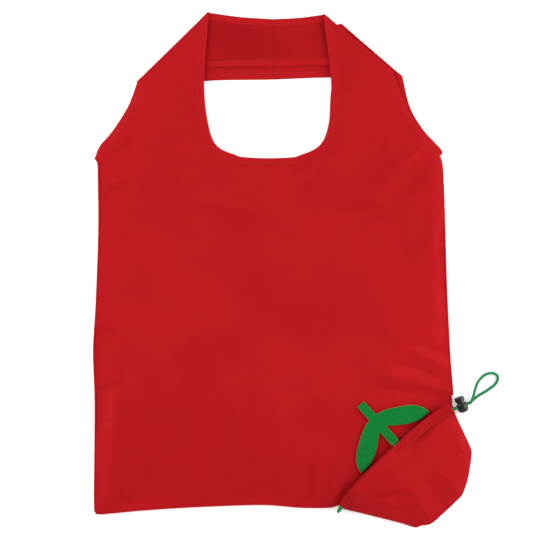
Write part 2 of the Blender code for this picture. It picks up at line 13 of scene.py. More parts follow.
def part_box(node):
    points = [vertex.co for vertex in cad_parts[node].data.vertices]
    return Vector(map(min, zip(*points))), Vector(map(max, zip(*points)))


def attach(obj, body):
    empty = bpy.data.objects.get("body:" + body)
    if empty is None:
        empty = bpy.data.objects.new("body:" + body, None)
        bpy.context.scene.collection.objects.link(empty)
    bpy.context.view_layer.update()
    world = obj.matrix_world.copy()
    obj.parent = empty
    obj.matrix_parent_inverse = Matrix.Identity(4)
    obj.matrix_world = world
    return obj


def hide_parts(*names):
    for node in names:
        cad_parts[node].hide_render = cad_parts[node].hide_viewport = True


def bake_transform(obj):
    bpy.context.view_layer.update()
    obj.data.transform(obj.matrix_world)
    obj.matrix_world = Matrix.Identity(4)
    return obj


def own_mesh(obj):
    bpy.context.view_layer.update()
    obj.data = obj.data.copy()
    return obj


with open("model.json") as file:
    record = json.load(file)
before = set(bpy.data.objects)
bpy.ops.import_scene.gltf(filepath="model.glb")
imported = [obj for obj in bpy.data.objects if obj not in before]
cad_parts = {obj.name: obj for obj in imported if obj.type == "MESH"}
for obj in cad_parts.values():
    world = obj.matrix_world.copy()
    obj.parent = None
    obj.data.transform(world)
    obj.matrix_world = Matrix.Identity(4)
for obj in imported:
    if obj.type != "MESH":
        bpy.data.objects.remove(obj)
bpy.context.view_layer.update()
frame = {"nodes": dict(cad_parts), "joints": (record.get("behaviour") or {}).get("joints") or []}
JOINTS = {joint["name"]: joint for joint in frame["joints"]}

MM = 0.001
CLOTH = 0.25 * MM  # thickness of the polyester
HEM = 8.0 * MM  # width of the turned hems
CASING = 11.0 * MM  # width of the pouch's hem tunnel
CORD_DIAMETER = 3.0 * MM

# ---------------------------------------------------------------- the bag's outline, as the frame has it

BODY_TOP = JOINTS["front_handle_swing"]["pos_m"][1]
RIGHT_EDGE = [
    (0.1858, BODY_TOP), (0.1880, 0.1850), (0.1893, 0.1650), (0.1909, 0.1180), (0.1930, 0.0470), (0.1964, -0.0230), (0.1992, -0.0580),
    (0.1998, -0.0760), (0.1985, -0.1200), (0.1960, -0.1800), (0.1950, -0.2050),
]
LEFT_EDGE = [
    (-0.1930, BODY_TOP), (-0.1893, 0.1868), (-0.1887, 0.1700), (-0.1883, 0.1100), (-0.1912, 0.0300), (-0.1940, -0.0200),
    (-0.1922, -0.0800), (-0.1930, -0.1850), (-0.1915, -0.2050),
]
BOTTOM_EDGE = [
    (-0.1950, -0.1990), (-0.1870, -0.1996), (-0.1770, -0.1987), (-0.1326, -0.1947), (-0.0776, -0.1914), (-0.0094, -0.1892),
    (0.0325, -0.1922), (0.0640, -0.1922), (0.0800, -0.1890), (0.1400, -0.1900), (0.2050, -0.1900),
]
HANDLE_SEAM_X = 0.0024
FRONT_HANDLE = {
    -1: {
        "outer": [(-0.1930, BODY_TOP), (-0.1880, 0.2057), (-0.1735, 0.2230), (-0.1568, 0.2497), (-0.1469, 0.2750)],
        "inner": [(-0.0336, BODY_TOP), (-0.0588, 0.2057), (-0.0690, 0.2320), (-0.0730, 0.2790), (-0.0676, 0.3525)],
        "band_low": [(-0.0750, 0.2915), (HANDLE_SEAM_X, 0.2937)],
        "band_high": [(-0.0330, 0.3478), (HANDLE_SEAM_X, 0.3454)],
    },
    1: {
        "outer": [(0.1858, BODY_TOP), (0.1882, 0.2015), (0.1640, 0.2260), (0.1500, 0.2500), (0.1345, 0.2871)],
        "inner": [(0.0280, BODY_TOP), (0.0534, 0.2057), (0.0640, 0.2300), (0.0665, 0.2780), (0.0578, 0.3505)],
        "band_low": [(0.0650, 0.2950), (HANDLE_SEAM_X, 0.2937)],
        "band_high": [(0.0320, 0.3470), (HANDLE_SEAM_X, 0.3454)],
    },
}
BACK_HANDLE = {
    -1: {
        "outer": [(-0.1930, BODY_TOP), (-0.1865, 0.2057), (-0.1705, 0.2230), (-0.1540, 0.2480), (-0.1430, 0.2680)],
        "inner": [(-0.0336, BODY_TOP), (-0.0588, 0.2057), (-0.0695, 0.2320), (-0.0735, 0.2700), (-0.0750, 0.3360)],
        "band_low": [(-0.0750, 0.2775), (HANDLE_SEAM_X, 0.2793)],
        "band_high": [(-0.0330, 0.3320), (HANDLE_SEAM_X, 0.3300)],
    },
    1: {
        "outer": [(0.1858, BODY_TOP), (0.1850, 0.2050), (0.1690, 0.2230), (0.1540, 0.2480), (0.1453, 0.2823)],
        "inner": [(0.0280, BODY_TOP), (0.0534, 0.2057), (0.0640, 0.2300), (0.0670, 0.2700), (0.0776, 0.3405)],
        "band_low": [(0.0700, 0.2818), (HANDLE_SEAM_X, 0.2793)],
        "band_high": [(0.0320, 0.3330), (HANDLE_SEAM_X, 0.3300)],
    },
}

# ---------------------------------------------------------------- the pouch's place, along and across its mouth

MOUTH_RIGHT = Vector((0.2030, -0.0726))
MOUTH_LEFT = Vector((0.0743, -0.1892))
MOUTH_MIDDLE = 0.5 * (MOUTH_RIGHT + MOUTH_LEFT)
MOUTH_HALF = 0.5 * (MOUTH_RIGHT - MOUTH_LEFT).length
MOUTH_ALONG = (MOUTH_RIGHT - MOUTH_LEFT).normalized()
MOUTH_ACROSS = Vector((MOUTH_ALONG.y, -MOUTH_ALONG.x))
MOUTH_BOW = 8.0 * MM
POUCH_EDGE = [
    (0.0800, 0.0030), (0.0768, 0.0100), (0.0735, 0.0190), (0.0680, 0.0370), (0.0630, 0.0520), (0.0595, 0.0570),
    (0.0455, 0.0690), (0.0350, 0.0765), (0.0230, 0.0828), (0.0180, 0.0838), (-0.0090, 0.0845), (-0.0250, 0.0838),
    (-0.0345, 0.0780), (-0.0405, 0.0752), (-0.0490, 0.0610), (-0.0740, 0.0235), (-0.0810, 0.0135), (-0.0862, 0.0050),
]


def smooth_curve(points, steps):
    """Points along a Catmull-Rom curve that passes through every given point."""
    points = [np.array(p, float) for p in points]
    padded = [2 * points[0] - points[1], *points, 2 * points[-1] - points[-2]]
    curve = []
    for before, start, end, after in zip(padded, padded[1:], padded[2:], padded[3:]):
        for step in range(steps):
            t = step / steps
            curve.append(
                0.5
                * (
                    2 * start
                    + (end - before) * t
                    + (2 * before - 5 * start + 4 * end - after) * t**2
                    + (3 * start - before - 3 * end + after) * t**3
                )
            )
    curve.append(points[-1])
    return np.array(curve)


def lengths_along(points):
    """Distance from the first point to each point, along the line."""
    steps = np.linalg.norm(np.diff(points, axis=0), axis=1)
    return np.concatenate([[0.0], np.cumsum(steps)])


def resampled(points, count):
    """The same line with evenly spaced points."""
    run = lengths_along(points)
    spots = np.linspace(0.0, run[-1], count)
    return np.stack([np.interp(spots, run, points[:, k]) for k in range(points.shape[1])], axis=1)


def smoothstep(value, low=0.0, high=1.0):
    t = np.clip((value - low) / (high - low), 0.0, 1.0)
    return t * t * (3.0 - 2.0 * t)


def soft_noise(points, scale, seed, octaves=3):
    """Smooth noise in -1..1 at each (x, y), with features about 1 / scale across."""
    return np.array(
        [noise.fractal(Vector((x * scale, y * scale, seed)), 1.0, 2.0, octaves) for x, y in points[:, :2]]
    )


def mouth_edge(along):
    """How far across the pouch's hem edge lies at this place along its mouth."""
    return -MOUTH_BOW * (1.0 - np.abs(along / MOUTH_HALF) ** 3.5)


def place(along, across):
    """World (x, y) of a point given from the middle of the pouch's mouth."""
    spot = MOUTH_MIDDLE + float(along) * MOUTH_ALONG + float(across) * MOUTH_ACROSS
    return np.array(spot)


def mouth_coordinates(x, y):
    """How far along and across the mouth each world point lies."""
    dx = x - MOUTH_MIDDLE.x
    dy = y - MOUTH_MIDDLE.y
    return dx * MOUTH_ALONG.x + dy * MOUTH_ALONG.y, dx * MOUTH_ACROSS.x + dy * MOUTH_ACROSS.y


# ---------------------------------------------------------------- shader maths


class Value:
    """A shader socket whose arithmetic adds Math nodes."""

    def __init__(self, shader, socket):
        self.shader = shader
        self.socket = socket

    def _math(self, operation, first, second=None):
        values = [first] if second is None else [first, second]
        return self.shader.node("ShaderNodeMath", {"operation": operation}, dict(enumerate(values)))

    def __add__(self, other):
        return self._math("ADD", self, other)

    def __radd__(self, other):
        return self._math("ADD", other, self)

    def __sub__(self, other):
        return self._math("SUBTRACT", self, other)

    def __rsub__(self, other):
        return self._math("SUBTRACT", other, self)

    def __mul__(self, other):
        return self._math("MULTIPLY", self, other)

    def __rmul__(self, other):
        return self._math("MULTIPLY", other, self)

    def __truediv__(self, other):
        return self._math("DIVIDE", self, other)

    def sine(self):
        return self._math("SINE", self)

    def absolute(self):
        return self._math("ABSOLUTE", self)

    def power(self, other):
        return self._math("POWER", self, other)

    def clamped(self):
        return self.shader.node("ShaderNodeClamp", {}, {0: self})


class Shader:
    """Builds one material's nodes."""

    def __init__(self, name):
        self.material = bpy.data.materials.new(name)
        self.material.use_nodes = True
        self.tree = self.material.node_tree
        self.surface = self.tree.nodes["Principled BSDF"]

    def node(self, kind, settings=None, inputs=None, output=0):
        made = self.tree.nodes.new(kind)
        for key, value in (settings or {}).items():
            if key == "stops":
                ramp = made.color_ramp
                while len(ramp.elements) < len(value):
                    ramp.elements.new(0.5)
                for element, (position, colour) in zip(ramp.elements, value):
                    element.position = position
                    element.color = (*colour, 1.0)
            else:
                setattr(made, key, value)
        for key, value in (inputs or {}).items():
            self.feed(made.inputs[key], value)
        return Value(self, made.outputs[output])

    def feed(self, socket, value):
        if isinstance(value, Value):
            self.tree.links.new(value.socket, socket)
        elif isinstance(value, tuple) and socket.type == "RGBA":
            socket.default_value = (*value, 1.0)
        else:
            socket.default_value = value

    def mix_colour(self, factor, first, second):
        made = self.tree.nodes.new("ShaderNodeMix")
        made.data_type = "RGBA"
        self.feed(made.inputs["Factor"], factor)
        colours = [socket for socket in made.inputs if socket.type == "RGBA"]
        self.feed(colours[0], first)
        self.feed(colours[1], second)
        return Value(self, next(socket for socket in made.outputs if socket.type == "RGBA"))

    def place(self, source="Object"):
        coordinates = self.tree.nodes.new("ShaderNodeTexCoord")
        return Value(self, coordinates.outputs[source])

    def axes(self, vector):
        made = self.tree.nodes.new("ShaderNodeSeparateXYZ")
        self.feed(made.inputs[0], vector)
        return [Value(self, output) for output in made.outputs]

    def noise(self, vector, scale, detail=3.0, roughness=0.55, distortion=0.0):
        inputs = {
            "Vector": vector, "Scale": scale, "Detail": detail, "Roughness": roughness, "Distortion": distortion,
        }
        return self.node("ShaderNodeTexNoise", {}, inputs)

    def bump(self, height, distance, strength=1.0):
        return self.node(
            "ShaderNodeBump", {}, {"Height": height, "Distance": distance, "Strength": strength}, output="Normal"
        )

    def set(self, **values):
        for name, value in values.items():
            self.feed(self.surface.inputs[name.replace("_", " ").title().replace("Ior", "IOR")], value)


def weave_height(shader, place_on, pitch):
    """Threads of a plain weave, from 0 to 1."""
    x, y, _ = shader.axes(place_on)
    turn = 2 * math.pi / pitch
    over = (x * turn).sine() * (y * turn).sine()
    return over * 0.5 + 0.5


def cloth_material(name, face_colour, reverse_and_shade_colour):
    """Thin plain-woven polyester. The layer marked as reverse side is darker, partly for the reverse's duller finish
    and partly as painted shade where the band lies low under the straps; hems are paler, partly for the doubled cloth
    and partly as a painted highlight; the stitched groove of each hem carries painted shade.
    """
    shader = Shader(name)
    spot = shader.place()
    reverse = shader.node("ShaderNodeAttribute", {"attribute_name": "reverse"}, output="Fac")
    hem = shader.node("ShaderNodeAttribute", {"attribute_name": "hem"}, output="Fac")
    doubled_and_highlit = ((hem - 0.49) * 24.0).clamped()
    groove = (1.0 - (hem - 0.58).absolute() * 22.0).clamped()
    drift = shader.noise(spot, 9.0, detail=3.0)
    # The reverse colour is darker partly for the reverse's duller finish and partly as painted shade of the band lying
    # low under the straps.
    colour = shader.mix_colour(reverse * (1.0 - doubled_and_highlit), face_colour, reverse_and_shade_colour)
    pale = tuple(min(1.0, channel * 1.12 + 0.001) for channel in face_colour)
    colour = shader.mix_colour((drift - 0.40).clamped() * 2.2, colour, pale)
    # Painted highlight: hems are paler, partly for the denser doubled cloth and partly where the raised hem would catch
    # light.
    colour = shader.mix_colour(doubled_and_highlit * 0.6, colour, pale)
    slub = shader.noise(spot, 420.0, detail=2.0)
    dark = tuple(channel * 0.88 for channel in face_colour)
    # Random slubs darken the cloth, and the stitched groove of each hem gets painted shade.
    colour = shader.mix_colour((slub - 0.5).clamped() * 0.5 + groove * 0.10, colour, dark)
    crinkle = shader.noise(spot, 150.0, detail=4.0, distortion=0.7)
    fine = shader.noise(spot, 620.0, detail=2.0)
    weave = weave_height(shader, spot, 0.42 * MM)
    height = crinkle * 0.80 + fine * 0.12 + weave * 0.10 + doubled_and_highlit * 0.5 - groove * 0.45
    shader.set(base_color=colour, roughness=drift * 0.12 + 0.58, normal=shader.bump(height, 0.30 * MM, 0.8))
    gloss_tint = (1.0, 0.22, 0.26, 1.0)
    shader.surface.inputs["Sheen Weight"].default_value = 0.03
    shader.surface.inputs["Sheen Roughness"].default_value = 0.45
    shader.surface.inputs["Sheen Tint"].default_value = gloss_tint
    shader.surface.inputs["IOR"].default_value = 1.25
    shader.surface.inputs["Specular IOR Level"].default_value = 0.30
    shader.surface.inputs["Specular Tint"].default_value = gloss_tint
    return shader.material


def thread_material(name, colour):
    """Sewing thread with a fine twist."""
    shader = Shader(name)
    spot = shader.place()
    lay = shader.noise(spot, 2600.0, detail=1.0)
    pale = tuple(min(1.0, channel * 1.25 + 0.01) for channel in colour)
    shader.set(base_color=shader.mix_colour(lay, colour, pale), roughness=lay * 0.2 + 0.45)
    shader.set(normal=shader.bump(lay, 0.08 * MM, 0.6))
    return shader.material


def felt_material(name, face_colour, deep_colour, edge_colour):
    """Pressed felt: matted fibres with darker pits, and a paler cut edge where the mesh is marked as edge."""
    shader = Shader(name)
    spot = shader.place()
    clumps = shader.noise(spot, 640.0, detail=4.0, roughness=0.8, distortion=0.2)
    fibres = shader.noise(spot, 1700.0, detail=3.0, roughness=0.75, distortion=0.8)
    edge = shader.node("ShaderNodeAttribute", {"attribute_name": "edge"}, output="Fac")
    pits = ((clumps - 0.44) * 3.6).clamped()
    colour = shader.mix_colour(pits, face_colour, deep_colour)
    pale = tuple(min(1.0, channel * 1.5 + 0.010) for channel in face_colour)
    colour = shader.mix_colour(((fibres - 0.54) * 3.0).clamped(), colour, pale)
    colour = shader.mix_colour(edge * 0.85, colour, edge_colour)
    height = clumps * 0.5 + fibres * 0.5
    shader.set(base_color=colour, roughness=0.95, normal=shader.bump(height, 0.5 * MM, 1.0))
    shader.surface.inputs["Sheen Weight"].default_value = 0.10
    shader.surface.inputs["Sheen Roughness"].default_value = 0.6
    shader.surface.inputs["Sheen Tint"].default_value = (0.15, 1.0, 0.30, 1.0)
    shader.surface.inputs["Specular IOR Level"].default_value = 0.03
    return shader.material


def cord_material(name, face_colour, deep_colour):
    """Round braided cord: its strands cross in a diamond pattern that follows the cord, with painted shade in the
    crevices between strands.
    """
    shader = Shader(name)
    around, along, _ = shader.axes(shader.place("UV"))
    carriers = 8.0
    lean = 2 * math.pi / (3.2 * MM)
    right = (around * (2 * math.pi * carriers) + along * lean).sine()
    left = (around * (2 * math.pi * carriers) - along * lean).sine()
    strands = (right * left) * 0.5 + 0.5
    fuzz = shader.noise(shader.place(), 1800.0, detail=2.0)
    # Painted shade: the deep colour fills the low crevices between strands.
    colour = shader.mix_colour(strands, deep_colour, face_colour)
    colour = shader.mix_colour((fuzz - 0.45).clamped() * 0.8, colour, tuple(min(1.0, c * 1.3 + 0.02) for c in face_colour))
    height = strands * 0.8 + fuzz * 0.2
    shader.set(base_color=colour, roughness=fuzz * 0.15 + 0.62, normal=shader.bump(height, 0.22 * MM, 0.8))
    shader.surface.inputs["Specular IOR Level"].default_value = 0.20
    return shader.material


def plastic_material(name, colour):
    """Moulded plastic with a faint grain and rubbed high spots."""
    shader = Shader(name)
    spot = shader.place()
    grain = shader.noise(spot, 1400.0, detail=2.0)
    rub = shader.noise(spot, 160.0, detail=3.0)
    pale = tuple(min(1.0, channel * 1.6 + 0.006) for channel in colour)
    shader.set(base_color=shader.mix_colour((rub - 0.45).clamped() * 1.4, colour, pale), roughness=rub * 0.22 + 0.26)
    shader.set(normal=shader.bump(grain, 0.03 * MM, 0.5))
    shader.surface.inputs["Specular IOR Level"].default_value = 0.36
    return shader.material


def steel_material(name):
    shader = Shader(name)
    streak = shader.noise(shader.place(), 900.0, detail=2.0)
    shader.set(base_color=(0.55, 0.55, 0.56), metallic=1.0, roughness=streak * 0.2 + 0.22)
    return shader.material


# The second colour is the reverse side's: darker partly for its duller finish and partly as painted shade.
RED_CLOTH = cloth_material("red_polyester", (0.400, 0.0074, 0.0104), (0.325, 0.0058, 0.0078))
RED_THREAD = thread_material("red_thread", (0.420, 0.008, 0.012))
GREEN_THREAD = thread_material("green_thread", (0.012, 0.200, 0.050))
GREEN_FELT = felt_material("green_felt", (0.0060, 0.205, 0.034), (0.0015, 0.092, 0.012), (0.270, 0.250, 0.075))
GREEN_CORD = cord_material("green_cord", (0.018, 0.270, 0.095), (0.005, 0.120, 0.036))
BLACK_PLASTIC = plastic_material("black_plastic", (0.0075, 0.0055, 0.0050))
SPRING_STEEL = steel_material("spring_steel")

# ---------------------------------------------------------------- mesh helpers


def link(piece):
    bpy.context.collection.objects.link(piece)
    return piece


def mesh_piece(name, vertices, faces, material, smooth=True):
    mesh = bpy.data.meshes.new(name)
    mesh.from_pydata([tuple(v) for v in vertices], [], [tuple(int(i) for i in f) for f in faces])
    mesh.materials.append(material)
    mesh.validate()
    if smooth:
        mesh.shade_smooth()
    return link(bpy.data.objects.new(name, mesh))


def grid_faces(rows, columns, index):
    """Quads of a grid whose vertex numbers are index[row, column]."""
    quads = []
    for i in range(rows - 1):
        for j in range(columns - 1):
            quads.append((index[i, j], index[i, j + 1], index[i + 1, j + 1], index[i + 1, j]))
    return quads


def vertex_normals(vertices, quads):
    """Area-weighted normals of a sheet of quads."""
    corners = vertices[np.array(quads)]
    face = np.cross(corners[:, 2] - corners[:, 0], corners[:, 3] - corners[:, 1])
    normals = np.zeros_like(vertices)
    for k in range(4):
        np.add.at(normals, np.array(quads)[:, k], face)
    return normals / np.maximum(np.linalg.norm(normals, axis=1, keepdims=True), 1e-12)


def mark(piece, name, values):
    """Writes a number on every vertex, for the material to read; a cloth's two layers may share one set."""
    repeats = len(piece.data.vertices) // len(values)
    attribute = piece.data.attributes.new(name, "FLOAT", "POINT")
    attribute.data.foreach_set("value", np.tile(values, repeats).astype(np.float32))


def cloth_piece(name, vertices, quads, material, thickness=CLOTH):
    """A closed cloth of real thickness round a sheet of quads; its lower layer is marked as the reverse side, whose
    colour carries painted shade as well.
    """
    vertices = np.array(vertices)
    quads = np.array(quads)
    count = len(vertices)
    half = vertex_normals(vertices, quads) * 0.5 * np.reshape(thickness, (-1, 1))
    both = np.vstack([vertices + half, vertices - half])
    faces = [tuple(q) for q in quads] + [tuple(q[::-1] + count) for q in quads]
    edges = {}
    for quad in quads:
        for a, b in zip(quad, np.roll(quad, -1)):
            edges[(int(a), int(b))] = edges.get((int(a), int(b)), 0) + 1
    for a, b in list(edges):
        if (b, a) not in edges:
            faces.append((b, a, a + count, b + count))
    piece = mesh_piece(name, both, faces, material)
    mark(piece, "reverse", np.concatenate([np.zeros(count), np.ones(count)]))
    return piece


def tube_piece(name, points, radius, material, sides=16, swell=None):
    """A closed round tube along a line, with a UV map of turns round and metres along it."""
    points = np.array(points, float)
    run = lengths_along(points)
    tangents = np.gradient(points, axis=0)
    tangents /= np.linalg.norm(tangents, axis=1, keepdims=True)
    side = np.cross(tangents[0], (0.0, 0.0, 1.0))
    if np.linalg.norm(side) < 0.2:
        side = np.cross(tangents[0], (1.0, 0.0, 0.0))
    side /= np.linalg.norm(side)
    vertices = []
    for i, (point, tangent) in enumerate(zip(points, tangents)):
        side = side - tangent * np.dot(side, tangent)
        side /= np.linalg.norm(side)
        other = np.cross(tangent, side)
        for k in range(sides):
            angle = 2 * math.pi * k / sides
            reach = radius * (1.0 if swell is None else swell(run[i], angle))
            vertices.append(point + reach * (math.cos(angle) * side + math.sin(angle) * other))
    faces = []
    for i in range(len(points) - 1):
        for k in range(sides):
            j = (k + 1) % sides
            faces.append((i * sides + k, i * sides + j, (i + 1) * sides + j, (i + 1) * sides + k))
    last = (len(points) - 1) * sides
    faces.append(tuple(reversed(range(sides))))
    faces.append(tuple(last + k for k in range(sides)))
    piece = mesh_piece(name, vertices, faces, material)
    layer = piece.data.uv_layers.new(name="along_cord")
    for polygon in piece.data.polygons:
        for loop in polygon.loop_indices:
            vertex = piece.data.loops[loop].vertex_index
            turn = vertex % sides
            if len(polygon.vertices) == 4 and turn == 0 and polygon.vertices[0] % sides == sides - 1:
                turn = sides
            layer.data[loop].uv = (turn / sides, run[vertex // sides])
    bm = bmesh.new()
    bm.from_mesh(piece.data)
    bmesh.ops.recalc_face_normals(bm, faces=bm.faces)
    bm.to_mesh(piece.data)
    bm.free()
    return piece


# ---------------------------------------------------------------- camera

VIEW_CENTRE = (-0.0006, 0.0693)
VIEW_WIDTH = 0.594
VIEW_HEIGHT = 5.5 * MM  # of the cloth that the view's width is measured on
LENS = 100.0
SENSOR = 36.0


def make_camera():
    data = bpy.data.cameras.new("camera")
    data.lens = LENS
    data.sensor_width = SENSOR
    data.clip_end = 20.0
    camera = link(bpy.data.objects.new("camera", data))
    camera.location = (*VIEW_CENTRE, VIEW_HEIGHT + VIEW_WIDTH * LENS / SENSOR)
    bpy.context.scene.camera = camera


make_camera()

# ---------------------------------------------------------------- the drawcord and its free loop

LOCK_CENTRE = np.array((0.2105, -0.0800, 0.0066))
BORE_ANGLE = math.radians(22.0)
BORE = np.array((math.cos(BORE_ANGLE), math.sin(BORE_ANGLE), 0.0))
STRAND_SPACING = 3.3 * MM
OUTLET = LOCK_CENTRE + BORE * 7.3 * MM
LEAD = OUTLET + BORE * CORD_DIAMETER
HIGH = np.array((0.0, 0.0, 0.5 * STRAND_SPACING))
LOOP_ROUTE = [
    OUTLET + HIGH, LEAD + HIGH,
    (0.2228, -0.0695, 0.0078), (0.2250, -0.0615, 0.0066), (0.2285, -0.0535, 0.0050), (0.2360, -0.0464, 0.0032),
    (0.2445, -0.0442, 0.0022), (0.2505, -0.0482, 0.0019), (0.2482, -0.0560, 0.0020), (0.2390, -0.0633, 0.0026),
    (0.2290, -0.0690, 0.0040),
    LEAD - HIGH, OUTLET - HIGH,
]
RAMP_HIGH = (0.1985, -0.0835, 0.0100)  # between the lock and the front hem tunnel
RAMP_LOW = (0.1985, -0.0835, 0.0028)
CORD_TURN = [
    (0.0770, -0.1922, 0.0128), (0.0748, -0.1952, 0.0104), (0.0741, -0.1962, 0.0078),
    (0.0748, -0.1952, 0.0052), (0.0770, -0.1922, 0.0028),
]


def braid_swell(carriers, pitch, depth):
    """How far the strands of a braid stand out, for each place along and round the cord."""

    def swell(run, angle):
        right = math.sin(carriers * angle + run * 2 * math.pi / pitch)
        left = math.sin(carriers * angle - run * 2 * math.pi / pitch)
        return 1.0 + 0.5 * depth * (right * left - 1.0)

    return swell


def cord_tube(name, line, step):
    count = int(lengths_along(line)[-1] / step)
    route = resampled(line, count)
    swell = braid_swell(4, 3.2 * MM, 0.09)
    piece = tube_piece(name, route, 0.55 * CORD_DIAMETER, GREEN_CORD, 20, swell)
    return piece, route


def make_loop():
    piece, line = cord_tube("drawcord_loop_braided", smooth_curve(LOOP_ROUTE, 20), 0.45 * MM)
    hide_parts("drawcord_loop")
    reach = (line - OUTLET) @ BORE
    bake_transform(piece)


def drawcord_route():
    """In through the lock, along the front hem tunnel, round the pouch's lower end and back through the rear one."""
    lead = [7.0 * MM, 0.0, -7.0 * MM]
    high = [LOCK_CENTRE + BORE * run + HIGH for run in lead]
    low = [LOCK_CENTRE + BORE * run - HIGH for run in reversed(lead)]
    spots = np.linspace(0.072, -0.076, 9)
    aside = 2.0 * MM * smoothstep(-spots, 0.050, 0.076)
    flat = [place(along, mouth_edge(along) + 0.5 * CASING - inward) for along, inward in zip(spots, aside)]
    front_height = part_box("pouch_casing_front")
    back_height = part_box("pouch_casing_back")
    front = [(*spot, 0.5 * (front_height[0].z + front_height[1].z) - 0.3 * MM) for spot in flat]
    back = [(*spot, 0.5 * (back_height[0].z + back_height[1].z)) for spot in reversed(flat)]
    return smooth_curve([*high, RAMP_HIGH, *front, *CORD_TURN, *back, RAMP_LOW, *low], 12)


def make_drawcord():
    piece, _ = cord_tube("drawcord_braided", drawcord_route(), 0.8 * MM)
    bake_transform(piece)
    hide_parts("drawcord")


make_loop()
make_drawcord()

# ---------------------------------------------------------------- heights of the cloth, as it lies


def distance_to_line(points, line):
    """Distance in plan from each point to a line of points."""
    points = np.asarray(points)[:, :2]
    line = np.asarray(line)[:, :2]
    nearest = np.full(len(points), 1e9)
    for a, b in zip(line, line[1:]):
        run = b - a
        t = np.clip((points - a) @ run / max(run @ run, 1e-12), 0.0, 1.0)
        nearest = np.minimum(nearest, np.linalg.norm(points - a - t[:, None] * run, axis=1))
    return nearest


def fold(points, start, end, height, width):
    """A soft ridge, or a valley where the height is negative, from one place to another, fading at both ends."""
    a = np.array(start)
    run = np.array(end) - a
    t = (points[:, :2] - a) @ run / (run @ run)
    inside = np.clip(t, 0.0, 1.0)
    away = np.linalg.norm(points[:, :2] - a - inside[:, None] * run, axis=1)
    fade = smoothstep(t, -0.15, 0.35) * (1.0 - smoothstep(t, 0.65, 1.15))
    return height * fade * np.exp(0.4 - np.sqrt((away / (0.75 * width)) ** 2 + 0.16))


def broad_rise(points, centre, radius, height):
    """A broad low rise, or a dip where the height is negative."""
    away = np.linalg.norm(points[:, :2] - np.array(centre), axis=1)
    return height * np.exp(-((away / radius) ** 2))


def warped(points, reach, scale, seed):
    """The same places pushed about a little, so that nothing drawn on them runs straight."""
    moved = points.copy()
    moved[:, 0] += reach * soft_noise(points, scale, seed, 2)
    moved[:, 1] += reach * soft_noise(points, scale, seed + 7.0, 2)
    return moved


# Each fold: where it starts and ends, its height and its half-width
BODY_FOLDS = [
    ((-0.186, 0.147), (-0.150, 0.163), -1.6 * MM, 4.0 * MM),
    ((-0.184, 0.158), (-0.160, 0.172), 0.8 * MM, 4.0 * MM),
    ((-0.180, 0.199), (-0.150, 0.210), -1.8 * MM, 4.5 * MM),
    ((0.170, 0.206), (0.116, 0.166), 2.6 * MM, 7.0 * MM),
    ((0.176, 0.184), (0.130, 0.140), -3.2 * MM, 13.0 * MM),
    ((0.177, 0.166), (0.181, -0.010), 1.6 * MM, 12.0 * MM),
    ((-0.172, -0.060), (-0.175, -0.196), 2.2 * MM, 11.0 * MM),
    ((-0.128, 0.262), (-0.120, 0.206), 1.5 * MM, 9.0 * MM),
    ((0.150, 0.140), (0.020, 0.126), -1.4 * MM, 15.0 * MM),
    ((0.108, 0.230), (0.018, 0.146), 2.2 * MM, 13.0 * MM),
    ((0.054, 0.194), (0.014, 0.168), -1.2 * MM, 6.0 * MM),
    ((-0.092, 0.154), (-0.012, 0.128), 1.8 * MM, 10.0 * MM),
    ((-0.124, 0.176), (-0.056, 0.192), -0.9 * MM, 8.0 * MM),
    ((0.200, 0.003), (0.160, 0.010), -0.9 * MM, 4.0 * MM),
    ((0.201, -0.026), (0.138, -0.008), -1.1 * MM, 4.5 * MM),
    ((0.202, -0.040), (0.150, -0.018), 1.2 * MM, 5.5 * MM),
    ((0.203, -0.056), (0.128, -0.030), -1.3 * MM, 5.0 * MM),
    ((0.204, -0.066), (0.118, -0.044), 1.6 * MM, 7.0 * MM),
    ((0.205, -0.072), (0.112, -0.060), -1.2 * MM, 5.0 * MM),
    ((0.030, -0.204), (0.036, -0.128), 1.3 * MM, 4.0 * MM),
    ((0.041, -0.204), (0.043, -0.144), -1.0 * MM, 3.6 * MM),
    ((0.052, -0.204), (0.058, -0.124), 1.4 * MM, 4.4 * MM),
    ((0.062, -0.202), (0.068, -0.146), -1.2 * MM, 4.0 * MM),
    ((0.066, -0.190), (0.090, -0.138), 1.8 * MM, 6.0 * MM),
    ((-0.036, -0.182), (0.010, -0.172), -1.6 * MM, 9.0 * MM),
    ((-0.178, -0.190), (-0.104, -0.180), -1.5 * MM, 8.0 * MM),
    ((-0.200, 0.004), (-0.164, -0.003), -0.9 * MM, 3.4 * MM),
    ((-0.200, -0.015), (-0.170, -0.010), -0.8 * MM, 3.0 * MM),
    ((-0.200, -0.063), (-0.152, -0.055), -1.0 * MM, 3.6 * MM),
    ((-0.200, -0.101), (-0.172, -0.097), -0.9 * MM, 3.0 * MM),
    ((-0.166, -0.092), (-0.120, -0.166), 1.2 * MM, 12.0 * MM),
    ((-0.116, -0.034), (-0.064, 0.014), 1.1 * MM, 12.0 * MM),
    ((-0.050, -0.056), (-0.018, -0.146), 1.0 * MM, 12.0 * MM),
    ((-0.102, 0.252), (-0.080, 0.250), -0.8 * MM, 2.4 * MM),
    ((-0.094, 0.240), (-0.078, 0.238), -0.8 * MM, 2.2 * MM),
    ((-0.092, 0.222), (-0.076, 0.220), -0.8 * MM, 2.2 * MM),
    ((0.070, 0.312), (0.086, 0.308), -0.8 * MM, 2.2 * MM),
    ((0.068, 0.296), (0.088, 0.292), -0.8 * MM, 2.4 * MM),
    ((-0.150, 0.240), (-0.100, 0.290), 1.1 * MM, 9.0 * MM),
    ((0.150, 0.240), (0.105, 0.290), 1.0 * MM, 9.0 * MM),
]
